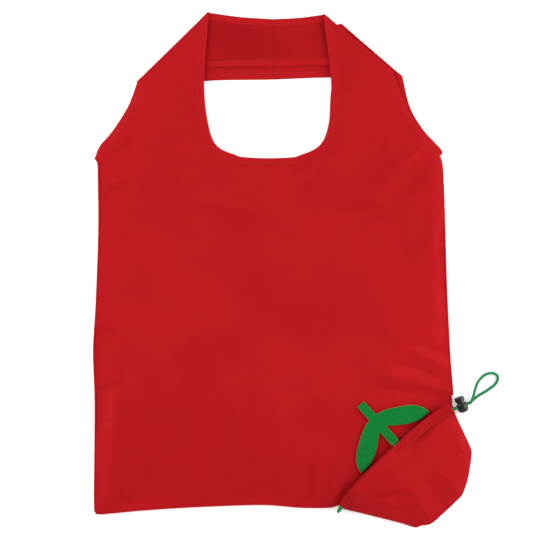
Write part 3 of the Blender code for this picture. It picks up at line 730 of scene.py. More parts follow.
# Each swell: its centre, radius and height
BODY_SWELLS = [
    ((-0.050, 0.168), 44 * MM, 1.8 * MM),
    ((0.080, 0.176), 46 * MM, 1.6 * MM),
    ((0.004, 0.076), 96 * MM, -3.0 * MM),
    ((-0.116, -0.070), 62 * MM, 2.2 * MM),
    ((0.046, -0.070), 60 * MM, 1.2 * MM),
    ((0.146, -0.010), 46 * MM, 1.8 * MM),
    ((-0.136, 0.100), 46 * MM, 1.4 * MM),
]


def crumple(points, seed):
    """The soft creases that folded polyester keeps, broad ones and fine ones."""
    broad = soft_noise(points, 9.0, seed, 2)
    crease = np.abs(soft_noise(warped(points, 9.0 * MM, 14.0, seed), 15.0, seed + 2.0, 2))
    middle = soft_noise(warped(points, 6.0 * MM, 30.0, seed), 34.0, seed + 3.0, 2)
    small = soft_noise(points, 110.0, seed + 5.0, 2)
    return (0.6 + 1.3 * broad - 1.3 * crease + 0.26 * middle + 0.09 * small) * MM


LEFT_SIDE = smooth_curve(LEFT_EDGE, 6)
RIGHT_SIDE = smooth_curve(RIGHT_EDGE, 6)
BOTTOM_SIDE = smooth_curve(BOTTOM_EDGE, 6)


def handle_curves(handle):
    """Every edge of a handle as a smooth line."""
    return {side: {key: smooth_curve(line, 12) for key, line in edges.items()} for side, edges in handle.items()}


FRONT_CURVES = handle_curves(FRONT_HANDLE)
BACK_CURVES = handle_curves(BACK_HANDLE)
HANDLE_ROWS = 52
BAND_ROWS = 40
TURN_ROWS = 6
STRAP_COLUMNS = 62
NECK_COLUMNS = 26


class Sheet:
    """Vertices and quads of one cloth, laid out patch by patch."""

    def __init__(self):
        self.points = []
        self.parts = []
        self.quads = []

    def add_row(self, row, part):
        first = len(self.points)
        self.points.extend(row)
        self.parts.extend([part] * len(row))
        return np.arange(first, first + len(row))

    def skin(self, rows):
        for low, high in zip(rows, rows[1:]):
            for j in range(len(low) - 1):
                self.quads.append((low[j], low[j + 1], high[j + 1], high[j]))


def graded(count, power=1.6):
    """Fractions from 0 to 1, closer together near both ends."""
    t = np.linspace(-1.0, 1.0, count + 1)
    return 0.5 + 0.5 * np.sign(t) * (1.0 - (1.0 - np.abs(t)) ** power)


def body_rows(coarse):
    """Rows of plan points of the bag's body, from its bottom edge to the neck line."""
    left = resampled(LEFT_SIDE, 400)
    right = resampled(RIGHT_SIDE, 400)
    inside = left[:, 1] > -0.1985
    left = left[inside]
    right = right[right[:, 1] > -0.1885]
    strap = graded(STRAP_COLUMNS // coarse, 1.25)
    neck = np.linspace(0.0, 1.0, NECK_COLUMNS // coarse + 1)
    edges = FRONT_HANDLE
    neck_left = edges[-1]["inner"][0][0]
    neck_right = edges[1]["inner"][0][0]
    top_left = edges[-1]["outer"][0][0]
    top_right = edges[1]["outer"][0][0]
    top = np.concatenate([
        top_left + strap * (neck_left - top_left),
        neck_left + neck[1:-1] * (neck_right - neck_left),
        neck_right + strap * (top_right - neck_right),
    ])
    share = (top - top_left) / (top_right - top_left)
    heights = np.concatenate([np.linspace(0.0, 0.94, 150 // coarse)[:-1], np.linspace(0.94, 1.0, 20 // coarse)])
    bottom = BOTTOM_SIDE
    bottom_left = np.array((left[-1][0], left[-1][1]))
    bottom_right = np.array((0.1939, -0.1874))
    bottom_x = bottom_left[0] + share * (bottom_right[0] - bottom_left[0])
    bottom_y = np.interp(bottom_x, bottom[:, 0], bottom[:, 1])
    rows = []
    for height in heights:
        spot = 1.0 - height
        edge_left = np.array([np.interp(spot, np.linspace(0, 1, len(left)), left[:, k]) for k in (0, 1)])
        edge_right = np.array([np.interp(spot, np.linspace(0, 1, len(right)), right[:, k]) for k in (0, 1)])
        straight = (1 - share)[:, None] * edge_left + share[:, None] * edge_right
        sag = bottom_y - ((1 - share) * bottom_left[1] + share * bottom_right[1])
        dip = -1.5 * MM * np.clip(1.0 - ((top - 0.5 * (neck_left + neck_right)) / (0.5 * (neck_right - neck_left))) ** 2, 0, 1)
        straight[:, 1] += sag * (1 - height) ** 6 + dip * height**30
        rows.append(straight)
    return rows


def lay_out(curves, coarse=1):
    """One cloth's plan: its body, both straps, the turn at each strap's end and the band to the middle seam."""
    sheet = Sheet()
    rows = [sheet.add_row(row, 0) for row in body_rows(coarse)]
    sheet.skin(rows)
    columns = STRAP_COLUMNS // coarse
    share = graded(columns, 1.25)
    for side in (-1, 1):
        edges = curves[side]
        part = 1 if side < 0 else 2
        base = rows[-1][:columns + 1] if side < 0 else rows[-1][-(columns + 1):]
        across = share if side < 0 else 1.0 - share[::-1]
        strap = [base]
        count = HANDLE_ROWS // coarse
        outer = resampled(edges["outer"], count + 1)
        inner = resampled(edges["inner"], count + 1)
        first, second = (outer, inner) if side < 0 else (inner, outer)
        for a, b in list(zip(first, second))[1:]:
            strap.append(sheet.add_row([a + (b - a) * s for s in across], part))
        low = edges["band_low"]
        high = edges["band_high"]
        fold_line = (first[-1], second[-1])
        turn = [sheet.add_row([fold_line[0] + (fold_line[1] - fold_line[0]) * s for s in across], part + 2)
                for _ in range(TURN_ROWS)]
        band = []
        count = BAND_ROWS // coarse
        ends = [(np.array(outer[-1]), np.array(inner[-1]))] + [
            (a, b) for a, b in zip(resampled(low, count), resampled(high, count))
        ]
        start_low = ends[0][0]
        start_high = ends[0][1]
        lows = smooth_curve([start_low, low[0], low[-1]], count // 2)[1:]
        highs = smooth_curve([start_high, high[0], high[-1]], count // 2)[1:]
        for a, b in zip(lows, highs):
            pair = (a, b) if side < 0 else (b, a)
            band.append(sheet.add_row([pair[0] + (pair[1] - pair[0]) * s for s in across], part + 4))
        sheet.skin(strap + turn + band)
    sheet.points = np.array([(p[0], p[1]) for p in sheet.points])
    sheet.parts = np.array(sheet.parts)
    return sheet


def band_line(curves, strap_edge, band_edge):
    """One edge of a band, from fold to fold."""
    left = np.vstack([curves[-1][strap_edge][-1:], curves[-1][band_edge]])
    right = np.vstack([curves[1][strap_edge][-1:], curves[1][band_edge]])
    return np.vstack([left, right[::-1]])


def hem_lines(curves):
    """The hemmed edges of the body and straps, then those of the bands."""
    neck = np.vstack([curves[-1]["inner"][::-1], curves[1]["inner"]])
    open_edges = [neck, curves[-1]["outer"], curves[1]["outer"]]
    return open_edges, [band_line(curves, "outer", "band_low"), band_line(curves, "inner", "band_high")]


def hem_distance(sheet, curves):
    open_edges, band_edges = hem_lines(curves)
    flat = sheet.points
    band = sheet.parts >= 5
    distance = np.full(len(flat), 0.1)
    for line in open_edges:
        distance = np.where(band, distance, np.minimum(distance, distance_to_line(flat, line)))
    for line in band_edges:
        distance = np.where(band, np.minimum(distance, distance_to_line(flat, line)), distance)
    return distance


def hem_rise(distance, points, seed):
    """How far a turned hem stands up: a low plateau with a stitched groove that puckers."""
    plateau = 1.0 - smoothstep(distance, HEM - 0.8 * MM, HEM + 0.6 * MM)
    pucker = soft_noise(points, 170.0, seed, 2) * np.exp(-(((distance - HEM) / (4.0 * MM)) ** 2))
    return (0.45 * plateau + 0.35 * pucker) * MM


def edge_lines(curves):
    """The bag's outer edge, from its bottom to the end of each strap."""
    left = np.vstack([LEFT_SIDE[::-1], curves[-1]["outer"]])
    right = np.vstack([RIGHT_SIDE[::-1], curves[1]["outer"]])
    return [left, right, BOTTOM_SIDE]


def rounding(points, curves, reach):
    """0 at the bag's outer edge, rising to 1 well inside it."""
    nearest = np.minimum.reduce([distance_to_line(points, line) for line in edge_lines(curves)])
    return 1.0 - np.exp(-nearest / reach)


def in_pouch(points):
    """0 outside the pouch's mouth, 1 inside it."""
    along, across = mouth_coordinates(points[:, 0], points[:, 1])
    edge = mouth_edge(np.clip(along, -MOUTH_HALF, MOUTH_HALF))
    return smoothstep(across - edge, -4.0 * MM, 6.0 * MM)


def handle_heights(sheet, curves, surface, strap_rise, band_height, band_folds, seed):
    """Heights of every vertex: the body and straps on one surface, then the turn and the band below the strap."""
    flat = sheet.points
    z = surface(flat)
    z = z + strap_rise * smoothstep(flat[:, 1], 0.245, 0.300)
    band_low = curves[1]["band_low"][-1][1]
    droop = 1.0 - smoothstep(flat[:, 1], band_low, band_low + 22.0 * MM)
    band = band_height * (1.0 - 0.30 * droop) + crumple(flat, seed) * (1.0 - 0.5 * droop)
    for start, end, height, width in band_folds:
        band += fold(flat, start, end, height, width)
    lowest = 0.68 * band_height
    band = 0.5 * (band + lowest + np.sqrt((band - lowest) ** 2 + (0.4 * MM) ** 2))
    where_band = sheet.parts >= 5
    turn = (sheet.parts == 3) | (sheet.parts == 4)
    result = np.where(where_band, band, z)
    for part in (3, 4):
        rows = np.flatnonzero(sheet.parts == part).reshape(TURN_ROWS, -1)
        outer = curves[-1 if part == 3 else 1]["outer"][-1]
        inner = curves[-1 if part == 3 else 1]["inner"][-1]
        run = inner - outer
        outward = np.array((-run[1], run[0])) / np.linalg.norm(run)
        if outward[1] < 0:
            outward = -outward
        for i, row in enumerate(rows):
            angle = math.pi * (i + 1) / (TURN_ROWS + 1)
            top = z[row]
            low = band[row]
            result[row] = 0.5 * (top + low) + 0.5 * (top - low) * math.cos(angle)
            sheet.points[row] += outward * math.sin(angle) * 0.5 * float(np.mean(top - low))
    return result


def finished_cloth(name, sheet, heights, curves, seed, edge_thickness=0.35 * MM):
    distance = hem_distance(sheet, curves)
    rise = hem_rise(distance, sheet.points, seed)
    vertices = np.column_stack([sheet.points, heights + 0.5 * rise])
    piece = cloth_piece(name, vertices, sheet.quads, RED_CLOTH, CLOTH + edge_thickness * (distance < HEM))
    mark(piece, "hem", np.clip(1.0 - distance / (2.0 * HEM), 0.0, 1.0))
    return piece


LEAF_CENTRE = 6.0 * MM  # of its stem, along the mouth
LEAF_SPINE = [(0.048, -0.014), (0.034, -0.024), (0.014, -0.036), (0.0, -0.040)]


def under_leaf(points):
    """1 where the felt leaf lies on the bag, fading to 0 round it."""
    right = [place(LEAF_CENTRE + a, b) for a, b in LEAF_SPINE]
    left = [place(LEAF_CENTRE - a, b) for a, b in LEAF_SPINE]
    stem = [place(LEAF_CENTRE, -0.066), place(LEAF_CENTRE, -0.010)]
    nearest = np.minimum.reduce([distance_to_line(points, line) for line in (right, left, stem)])
    return 1.0 - smoothstep(nearest, 10.0 * MM, 34.0 * MM)


def front_surface(points):
    spots = warped(points, 4.0 * MM, 22.0, 3.0)
    flat_strap = smoothstep(points[:, 1], 0.245, 0.300)
    z = 3.2 * MM + 3.3 * MM * rounding(points, FRONT_CURVES, 20.0 * MM) * (1.0 - 0.5 * flat_strap)
    ease = rounding(points, FRONT_CURVES, 8.0 * MM)
    shape = 1.2 * (crumple(points, 1.0) - 0.6 * MM)
    for start, end, height, width in BODY_FOLDS:
        shape = shape + fold(spots, start, end, height, width)
    for centre, radius, height in BODY_SWELLS:
        shape = shape + broad_rise(points, centre, radius, height)
    calm = (1.0 - 0.75 * in_pouch(points)) * (1.0 - 0.85 * under_leaf(points))
    strength = 1.9 - 0.8 * smoothstep(points[:, 1], 0.200, 0.280)
    z = z + strength * shape * (0.25 + 0.75 * ease) * calm
    lowest = 2.4 * MM
    return 0.5 * (z + lowest + np.sqrt((z - lowest) ** 2 + (1.2 * MM) ** 2))


FRONT_BAND_FOLDS = [
    ((-0.066, 0.334), (-0.030, 0.312), 2.2 * MM, 5.0 * MM),
    ((-0.046, 0.338), (-0.004, 0.312), 2.2 * MM, 5.0 * MM),
    ((0.004, 0.330), (0.026, 0.308), 2.2 * MM, 3.6 * MM),
    ((0.012, 0.334), (0.034, 0.316), -1.2 * MM, 3.5 * MM),
    ((0.022, 0.336), (0.050, 0.320), 1.0 * MM, 4.5 * MM),
    ((-0.020, 0.324), (0.004, 0.300), 1.0 * MM, 3.0 * MM),
]


def make_front_cloth():
    sheet = lay_out(FRONT_CURVES)
    heights = handle_heights(sheet, FRONT_CURVES, front_surface, 1.1 * MM, 3.1 * MM, FRONT_BAND_FOLDS, 11.0)
    piece = finished_cloth("front_cloth", sheet, heights, FRONT_CURVES, 2.0)
    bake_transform(piece)
    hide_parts("front_panel", "front_handle_left", "front_handle_right")
    return piece


def back_surface(points):
    z = 0.45 * MM + 2.3 * MM * (1.0 - rounding(points, BACK_CURVES, 4.0 * MM))
    shape = 0.25 * crumple(points, 21.0)
    handle = smoothstep(points[:, 1], BODY_TOP - 0.01, BODY_TOP + 0.03)
    z = z * (1 - handle) + handle * 1.3 * MM
    return z + shape * (1.0 - handle * 0.4) + 4.3 * MM * in_pouch(points)


def make_back_cloth():
    sheet = lay_out(BACK_CURVES, 2)
    heights = handle_heights(sheet, BACK_CURVES, back_surface, 0.9 * MM, 1.20 * MM, [], 31.0)
    sheet.quads = [quad[::-1] for quad in sheet.quads]
    piece = finished_cloth("back_cloth", sheet, heights, BACK_CURVES, 4.0)
    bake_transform(piece)
    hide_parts("back_panel", "back_handle_left", "back_handle_right")
    return piece


FRONT_CLOTH = make_front_cloth()
BACK_CLOTH = make_back_cloth()

# ---------------------------------------------------------------- seams


def offset_line(line, distance):
    """A flat line moved to its left by a distance."""
    line = np.asarray(line)[:, :2]
    run = np.gradient(line, axis=0)
    run /= np.maximum(np.linalg.norm(run, axis=1, keepdims=True), 1e-12)
    return line + distance * np.column_stack([-run[:, 1], run[:, 0]])


def rolled_seam(name, line, height, radius, node, seed, body="bag"):
    """The rolled edge where two layers are sewn together."""
    line = np.asarray(line)
    count = max(12, int(lengths_along(line)[-1] / (1.6 * MM)))
    flat = resampled(line, count)
    wander = soft_noise(flat, 90.0, seed, 2)
    heights = height(flat) if callable(height) else np.full(count, height)
    points = np.column_stack([flat, heights + 0.25 * MM * wander])
    lumps = 1.0 + 0.10 * soft_noise(flat, 260.0, seed + 1.0, 2)
    run = lengths_along(points)
    piece = tube_piece(name, points, radius, RED_CLOTH, 10, lambda r, angle: float(np.interp(r, run, lumps)))
    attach(piece, body)
    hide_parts(node)
    return piece


SEAM_RADIUS = 1.1 * MM
SEAM_HEIGHT = 3.1 * MM


def make_body_seams():
    left = offset_line(resampled(LEFT_SIDE, 200), -0.6 * MM)[::-1]
    left = left[left[:, 1] > -0.1975]
    right = offset_line(resampled(RIGHT_SIDE, 200), 0.6 * MM)
    bottom = offset_line(resampled(BOTTOM_SIDE, 200), 0.6 * MM)
    bottom = bottom[(bottom[:, 0] > -0.1930) & (bottom[:, 0] < 0.0790)]
    rolled_seam("side_seam_left_rolled", left, SEAM_HEIGHT, SEAM_RADIUS, "side_seam_left", 5.0)
    rolled_seam("side_seam_right_rolled", right[right[:, 1] > -0.0700], SEAM_HEIGHT, SEAM_RADIUS, "side_seam_right", 6.0)
    rolled_seam("bottom_seam_rolled", bottom, SEAM_HEIGHT, SEAM_RADIUS, "bottom_seam", 7.0)
    corner = [place(12.0 * MM, 80.0 * MM), place(-6.0 * MM, 81.0 * MM)]
    rolled_seam("corner_seam_rolled", corner, 5.6 * MM, 0.8 * MM, "corner_seam", 8.0)


def surface_tree(piece):
    return BVHTree.FromPolygons(
        [v.co for v in piece.data.vertices], [tuple(p.vertices) for p in piece.data.polygons]
    )


def laid_on(tree, line, lift=0.0):
    """The same flat line on top of a cloth; where there is no cloth below a point, the point is left out."""
    laid = []
    for x, y in np.asarray(line)[:, :2]:
        hit = tree.ray_cast(Vector((x, y, 0.05)), Vector((0.0, 0.0, -1.0)))[0]
        if hit is not None:
            laid.append((x, y, hit.z + lift))
    return np.array(laid)


def make_handle_seam(side, tree, curves, body, node):
    """The seam that joins the two halves of a band, standing up a little where its allowance is folded over."""
    low = curves[-1]["band_low"][-1]
    high = curves[-1]["band_high"][-1]
    line = resampled(np.array([low, high]), 40)[1:-1]
    points = laid_on(tree, line, -0.22 * MM)
    wander = 0.25 * MM * soft_noise(points, 120.0, 9.0, 2)
    points[:, 0] += wander
    piece = tube_piece(f"{side}_handle_seam_rolled", points, 0.42 * MM, RED_CLOTH, 10)
    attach(piece, body)
    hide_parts(node)


FRONT_TREE = surface_tree(FRONT_CLOTH)
BACK_TREE = surface_tree(BACK_CLOTH)
make_body_seams()
make_handle_seam("front", FRONT_TREE, FRONT_CURVES, "front_handle", "front_handle_seam")
make_handle_seam("back", BACK_TREE, BACK_CURVES, "back_handle", "back_handle_seam")

# ---------------------------------------------------------------- the pouch

POUCH_OUTLINE = smooth_curve(POUCH_EDGE, 8)
POUCH_SEAM_HEIGHT = 5.4 * MM
CASING_ALONG = (-84.4 * MM, 77.0 * MM)
CASING_SECTION = [
    (11.0, 0.25), (7.5, 0.20), (3.5, 0.22), (1.2, 0.60), (0.2, 1.50), (0.3, 2.60), (1.6, 3.60), (3.6, 4.20),
    (5.6, 4.35), (7.6, 4.00), (9.4, 2.80), (10.4, 1.30), (11.0, 0.80),
]  # millimetres in from the hem edge, and up
POUCH_FOLDS = [
    ((0.198, -0.092), (0.160, -0.126), 1.8 * MM, 4.5 * MM),
    ((0.180, -0.098), (0.150, -0.128), -1.0 * MM, 3.5 * MM),
    ((0.162, -0.128), (0.140, -0.150), -1.6 * MM, 4.5 * MM),
    ((0.106, -0.174), (0.156, -0.170), 1.2 * MM, 3.4 * MM),
    ((0.102, -0.182), (0.160, -0.179), -1.2 * MM, 3.4 * MM),
    ((0.112, -0.191), (0.168, -0.189), 1.1 * MM, 3.6 * MM),
    ((0.206, -0.100), (0.216, -0.150), 1.4 * MM, 7.0 * MM),
    ((0.176, -0.140), (0.212, -0.182), 1.3 * MM, 6.0 * MM),
    ((0.166, -0.158), (0.196, -0.194), -1.3 * MM, 5.0 * MM),
    ((0.150, -0.160), (0.180, -0.212), 1.2 * MM, 5.5 * MM),
    ((0.128, -0.164), (0.150, -0.206), -1.1 * MM, 5.0 * MM),
    ((0.196, -0.126), (0.222, -0.136), -0.9 * MM, 4.0 * MM),
]


def local_line(line):
    """World points of a line given along and across the mouth."""
    return np.array([place(*spot) for spot in line])


def rolled_under(along):
    """1 towards the pouch's lower end, where its hem rolls over and its stitches don't show; 0 at the cord lock."""
    return float(1.0 - smoothstep(along, -14.0 * MM, 30.0 * MM))


def ends_free(along):
    """0 at the lower end of the hem tunnel, which is open, and 1 along the rest of it."""
    return smoothstep(along, -80.0 * MM, -62.0 * MM)


def pouch_grid(over, rows=62, columns=120):
    """Plan points from the hem's stitched line out to the pouch's edge."""
    outline = resampled(POUCH_OUTLINE[::-1], 400)
    keep = outline[:, 1] > 12.0 * MM
    outline = resampled(outline[keep], columns)
    spots = np.linspace(outline[0][0] + 1.0 * MM, outline[-1][0] - 1.0 * MM, columns)
    rolled = np.array([rolled_under(spot) for spot in spots])
    mouth = np.column_stack([spots, mouth_edge(spots) + (10.4 - 9.0 * rolled * over) * MM])
    share = 1.0 - (1.0 - np.linspace(0.0, 1.0, rows)) ** 1.25
    return np.array([local_line(mouth + (outline - mouth) * t) for t in share])


def pouch_heights(flat, low, high, reach, seed, folds):
    outline = local_line(POUCH_OUTLINE)
    nearest = distance_to_line(flat, outline)
    z = low + (high - low) * (1.0 - np.exp(-nearest / reach))
    shape = crumple(flat, seed) - 0.6 * MM
    spots = warped(flat, 2.5 * MM, 40.0, seed)
    for start, end, height, width in folds:
        shape = shape + fold(spots, start, end, height, width)
    along, across = mouth_coordinates(flat[:, 0], flat[:, 1])
    beyond = across - mouth_edge(np.clip(along, -MOUTH_HALF, MOUTH_HALF)) - CASING
    gather = np.sin(along * 560.0 + 3.0 * np.sin(along * 130.0)) * np.exp(-np.maximum(beyond, 0.0) / (9.0 * MM))
    shape = shape + 0.20 * MM * gather
    settle = smoothstep(nearest, 0.0, 9.0 * MM)
    return z, shape * settle, along, beyond


def make_pouch_side(side, low, high, reach, seed, folds, strength):
    grid = pouch_grid(1.0 if side == "front" else 0.0)
    rows, columns = grid.shape[:2]
    flat = grid.reshape(-1, 2)
    z, shape, along, beyond = pouch_heights(flat, low, high, reach, seed, folds)
    if side == "front":
        rolled = np.array([rolled_under(spot) for spot in along])
        roof = 4.1 * MM * np.exp(-((np.maximum(beyond + 3.0 * MM, 0.0) / (12.0 * MM)) ** 2))
        z = z + roof * rolled * (0.4 + 0.6 * ends_free(along))
        shape = shape * (1.0 - 0.8 * rolled * np.exp(-np.maximum(beyond + 3.0 * MM, 0.0) / (5.0 * MM)))
    vertices = np.column_stack([flat, z + strength * shape])
    index = np.arange(rows * columns).reshape(rows, columns)
    quads = grid_faces(rows, columns, index)
    if side == "front":
        quads = [quad[::-1] for quad in quads]
    piece = cloth_piece(f"pouch_{side}_cloth", vertices, quads, RED_CLOTH)
    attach(piece, "bag")
    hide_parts(f"pouch_{side}")
    return piece


def make_casing(side, base, seed):
    """The hem tunnel that the drawcord runs through, crimped where the cord has gathered it."""
    section = smooth_curve(CASING_SECTION, 3) * MM
    spots = np.linspace(*CASING_ALONG, 150)
    vertices = []
    for along in spots:
        edge = mouth_edge(along)
        open_end = 1.0 - ends_free(along)
        lower = 0.14 * rolled_under(along)
        for reach, height in section * (1.0 - 0.22 * open_end, 1.0 - lower):
            crimp = noise.fractal(Vector((along * 230.0, reach * 90.0, seed)), 1.0, 2.0, 2)
            squeeze = 1.0 + 0.10 * noise.noise(Vector((along * 90.0, 0.0, seed)))
            spot = place(along, edge + reach + 0.3 * MM * crimp)
            vertices.append((*spot, base + height * squeeze + 0.35 * MM * crimp * (height > 1.0 * MM)))
    rows, columns = len(spots), len(section)
    index = np.arange(rows * columns).reshape(rows, columns)
    quads = [quad[::-1] for quad in grid_faces(rows, columns, index)]
    piece = cloth_piece(f"pouch_casing_{side}_cloth", vertices, quads, RED_CLOTH)
    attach(piece, "bag")
    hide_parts(f"pouch_casing_{side}")
    return piece


def make_pouch():
    front_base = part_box("pouch_casing_front")[0].z
    front = make_pouch_side("front", 5.6 * MM, front_base + 0.5 * MM, 11.0 * MM, 41.0, POUCH_FOLDS, 0.85)
    back = make_pouch_side("back", 5.0 * MM, 0.45 * MM, 6.0 * MM, 51.0, [], 0.3)
    casing = make_casing("front", front_base, 61.0)
    make_casing("back", 0.15 * MM, 71.0)
    edge = offset_line(local_line(POUCH_OUTLINE), -0.9 * MM)
    rolled_seam("pouch_edge_seam_rolled", edge, POUCH_SEAM_HEIGHT, 1.1 * MM, "pouch_edge_seam", 81.0)
    return front, back, casing


POUCH_FRONT, POUCH_BACK, CASING_FRONT = make_pouch()

# ---------------------------------------------------------------- the felt leaf

FELT = 2.5 * MM
STEM_HALF = 5.0 * MM
LEAF_UPPER = [
    (0.0050, -0.0465), (0.0150, -0.0435), (0.0270, -0.0372), (0.0410, -0.0275), (0.0482, -0.0180), (0.0506, -0.0092),
]
LEAF_LOWER = [(0.0506, -0.0092), (0.0375, -0.0098), (0.0260, -0.0142), (0.0155, -0.0210), (0.0050, -0.0295)]


def solid_between(edit, low_ring, high_ring):
    """A closed solid between two rings of points, added to a mesh being edited."""
    low = [edit.verts.new(point) for point in low_ring]
    high = [edit.verts.new(point) for point in high_ring]
    edit.faces.new(low[::-1])
    edit.faces.new(high)
    for i in range(len(low)):
        j = (i + 1) % len(low)
        edit.faces.new((low[i], low[j], high[j], high[i]))


def make_leaf():
    lowest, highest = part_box("leaf")
    base = lowest.z
    upper = [tuple(p) for p in smooth_curve(LEAF_UPPER, 8)]
    lower = [tuple(p) for p in smooth_curve(LEAF_LOWER, 8)]
    half = [(STEM_HALF, -0.0658), *upper, *lower[1:], (STEM_HALF, -0.0180)]
    ring = half + [(-a, b) for a, b in reversed(half)]
    edit = bmesh.new()
    flat = [place(LEAF_CENTRE + a, b) for a, b in ring]
    solid_between(edit, [(*p, base) for p in flat][::-1], [(*p, base + FELT) for p in flat][::-1])
    level = highest.z - FELT
    tail = [(-0.0200, base), (-0.0150, base + 0.1 * MM), (-0.0118, base + 2.2 * MM), (-0.0106, level), (-0.0094, level)]
    tail = smooth_curve(tail, 6)
    run = np.gradient(tail, axis=0)
    run /= np.linalg.norm(run, axis=1, keepdims=True)
    rings = []
    for (across, height), (step, climb) in zip(tail, run):
        top = (across - climb * 2.2 * MM, height + step * FELT)
        section = [(across, height), top]
        corners = [(-STEM_HALF, *section[0]), (STEM_HALF, *section[0]), (STEM_HALF, *section[1]), (-STEM_HALF, *section[1])]
        rings.append([edit.verts.new((*place(LEAF_CENTRE + a, b), h)) for a, b, h in corners])
    for ring_a, ring_b in zip(rings, rings[1:]):
        for i in range(4):
            j = (i + 1) % 4
            edit.faces.new((ring_a[i], ring_a[j], ring_b[j], ring_b[i]))
    edit.faces.new(rings[0][::-1])
    edit.faces.new(rings[-1])
    bmesh.ops.recalc_face_normals(edit, faces=edit.faces)
    rough = bpy.data.meshes.new("leaf_rough")
    edit.to_mesh(rough)
    edit.free()
    draft = link(bpy.data.objects.new("leaf_draft", rough))
    remesh = draft.modifiers.new("remesh", "REMESH")
    remesh.mode = "VOXEL"
    remesh.voxel_size = 0.55 * MM
    smooth = draft.modifiers.new("smooth", "SMOOTH")
    smooth.factor = 0.5
    smooth.iterations = 4
    mesh = bpy.data.meshes.new_from_object(draft.evaluated_get(bpy.context.evaluated_depsgraph_get()))
    bpy.data.objects.remove(draft)
    mesh.name = "leaf_felt"
    mesh.materials.clear()
    mesh.materials.append(GREEN_FELT)
    piece = link(bpy.data.objects.new("leaf_felt", mesh))
    count = len(mesh.vertices)
    spots = np.empty(count * 3)
    normals = np.empty(count * 3)
    mesh.vertices.foreach_get("co", spots)
    mesh.vertex_normals.foreach_get("vector", normals)
    spots = spots.reshape(-1, 3)
    normals = normals.reshape(-1, 3)
    edge = 1.0 - smoothstep(np.abs(normals[:, 2]), 0.35, 0.85)
    fuzz = np.array([noise.fractal(Vector(p) * 900.0, 0.8, 2.0, 3) for p in spots])
    spots += normals * (0.10 * MM * fuzz)[:, None]
    along, across = mouth_coordinates(spots[:, 0], spots[:, 1])
    wide = np.abs(along - LEAF_CENTRE)
    ramp = (wide < STEM_HALF - 0.6 * MM) & (across > -17.0 * MM) & (across < -9.8 * MM)
    edge = np.where(ramp, 0.0, edge)
    spots[:, 2] += 0.5 * MM * np.sin(wide * 85.0) * smoothstep(wide, 8.0 * MM, 30.0 * MM)
    mesh.vertices.foreach_set("co", spots.ravel())
    mark(piece, "edge", edge)
    mesh.shade_smooth()
    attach(piece, "leaf")
    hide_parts("leaf")


make_leaf()

# ---------------------------------------------------------------- the cord lock and the leaf's tack, as the frame has them


def dress(node, material):
    """Gives a CAD node its finished material."""
    mesh = frame["nodes"][node].data
    mesh.materials.clear()
    mesh.materials.append(material)


dress("cord_lock_barrel", BLACK_PLASTIC)
dress("cord_lock_plunger", BLACK_PLASTIC)


def make_spring():
    """The lock's spring, coiled along the way the button presses."""
    press = np.array((BORE[1], -BORE[0], 0.0))
    corners = np.array([vertex.co for vertex in frame["nodes"]["cord_lock_spring"].data.vertices])
    wire = 0.3 * MM
    run = corners @ press
    side = corners @ BORE
    radius = 0.5 * (side.max() - side.min()) - wire
    middle_height = 0.5 * (corners[:, 2].max() + corners[:, 2].min())
    centre = BORE * 0.5 * (side.max() + side.min()) + np.array((0.0, 0.0, middle_height))
    turns = 3
    line = []
    for share in np.linspace(0.0, 1.0, 24 * turns + 1):
        turn = 2 * math.pi * turns * share
        along = (run.min() + wire) * (1.0 - share) + (run.max() - wire) * share
        line.append(centre + press * along + radius * (BORE * math.cos(turn) + np.array((0.0, 0.0, math.sin(turn)))))
    piece = tube_piece("lock_spring_coil", np.array(line), wire, SPRING_STEEL, 8)
    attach(piece, "cord_lock")
    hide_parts("cord_lock_spring")
    length = float(run.max() - run.min())
    travel = JOINTS["button_press"]["range_m"][1]
    keep = (length - travel - 0.1 * MM) / length
    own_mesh(piece)


def make_tack():
    """The few stitches that hold the leaf's stem to the hem."""
    hem = mouth_edge(LEAF_CENTRE)
    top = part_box("leaf")[1].z
    path = [(1.6 * MM, 0.6 * MM), (0.7 * MM, 0.8 * MM), (-0.6 * MM, 0.4 * MM), (-2.6 * MM, 0.15 * MM), (-3.2 * MM, -0.7 * MM)]
    for index, aside in enumerate((-3.0 * MM, 0.0, 3.0 * MM)):
        line = [(*place(LEAF_CENTRE + aside, hem + across), top + rise) for across, rise in path]
        piece = tube_piece(f"leaf_tack_stitch_{index + 1}", smooth_curve(line, 5), 0.2 * MM, GREEN_THREAD, 8)
        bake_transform(piece)
        if index == 1:
            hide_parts("leaf_tack")


make_spring()
make_tack()

# ---------------------------------------------------------------- stitches

STITCH = 2.8 * MM


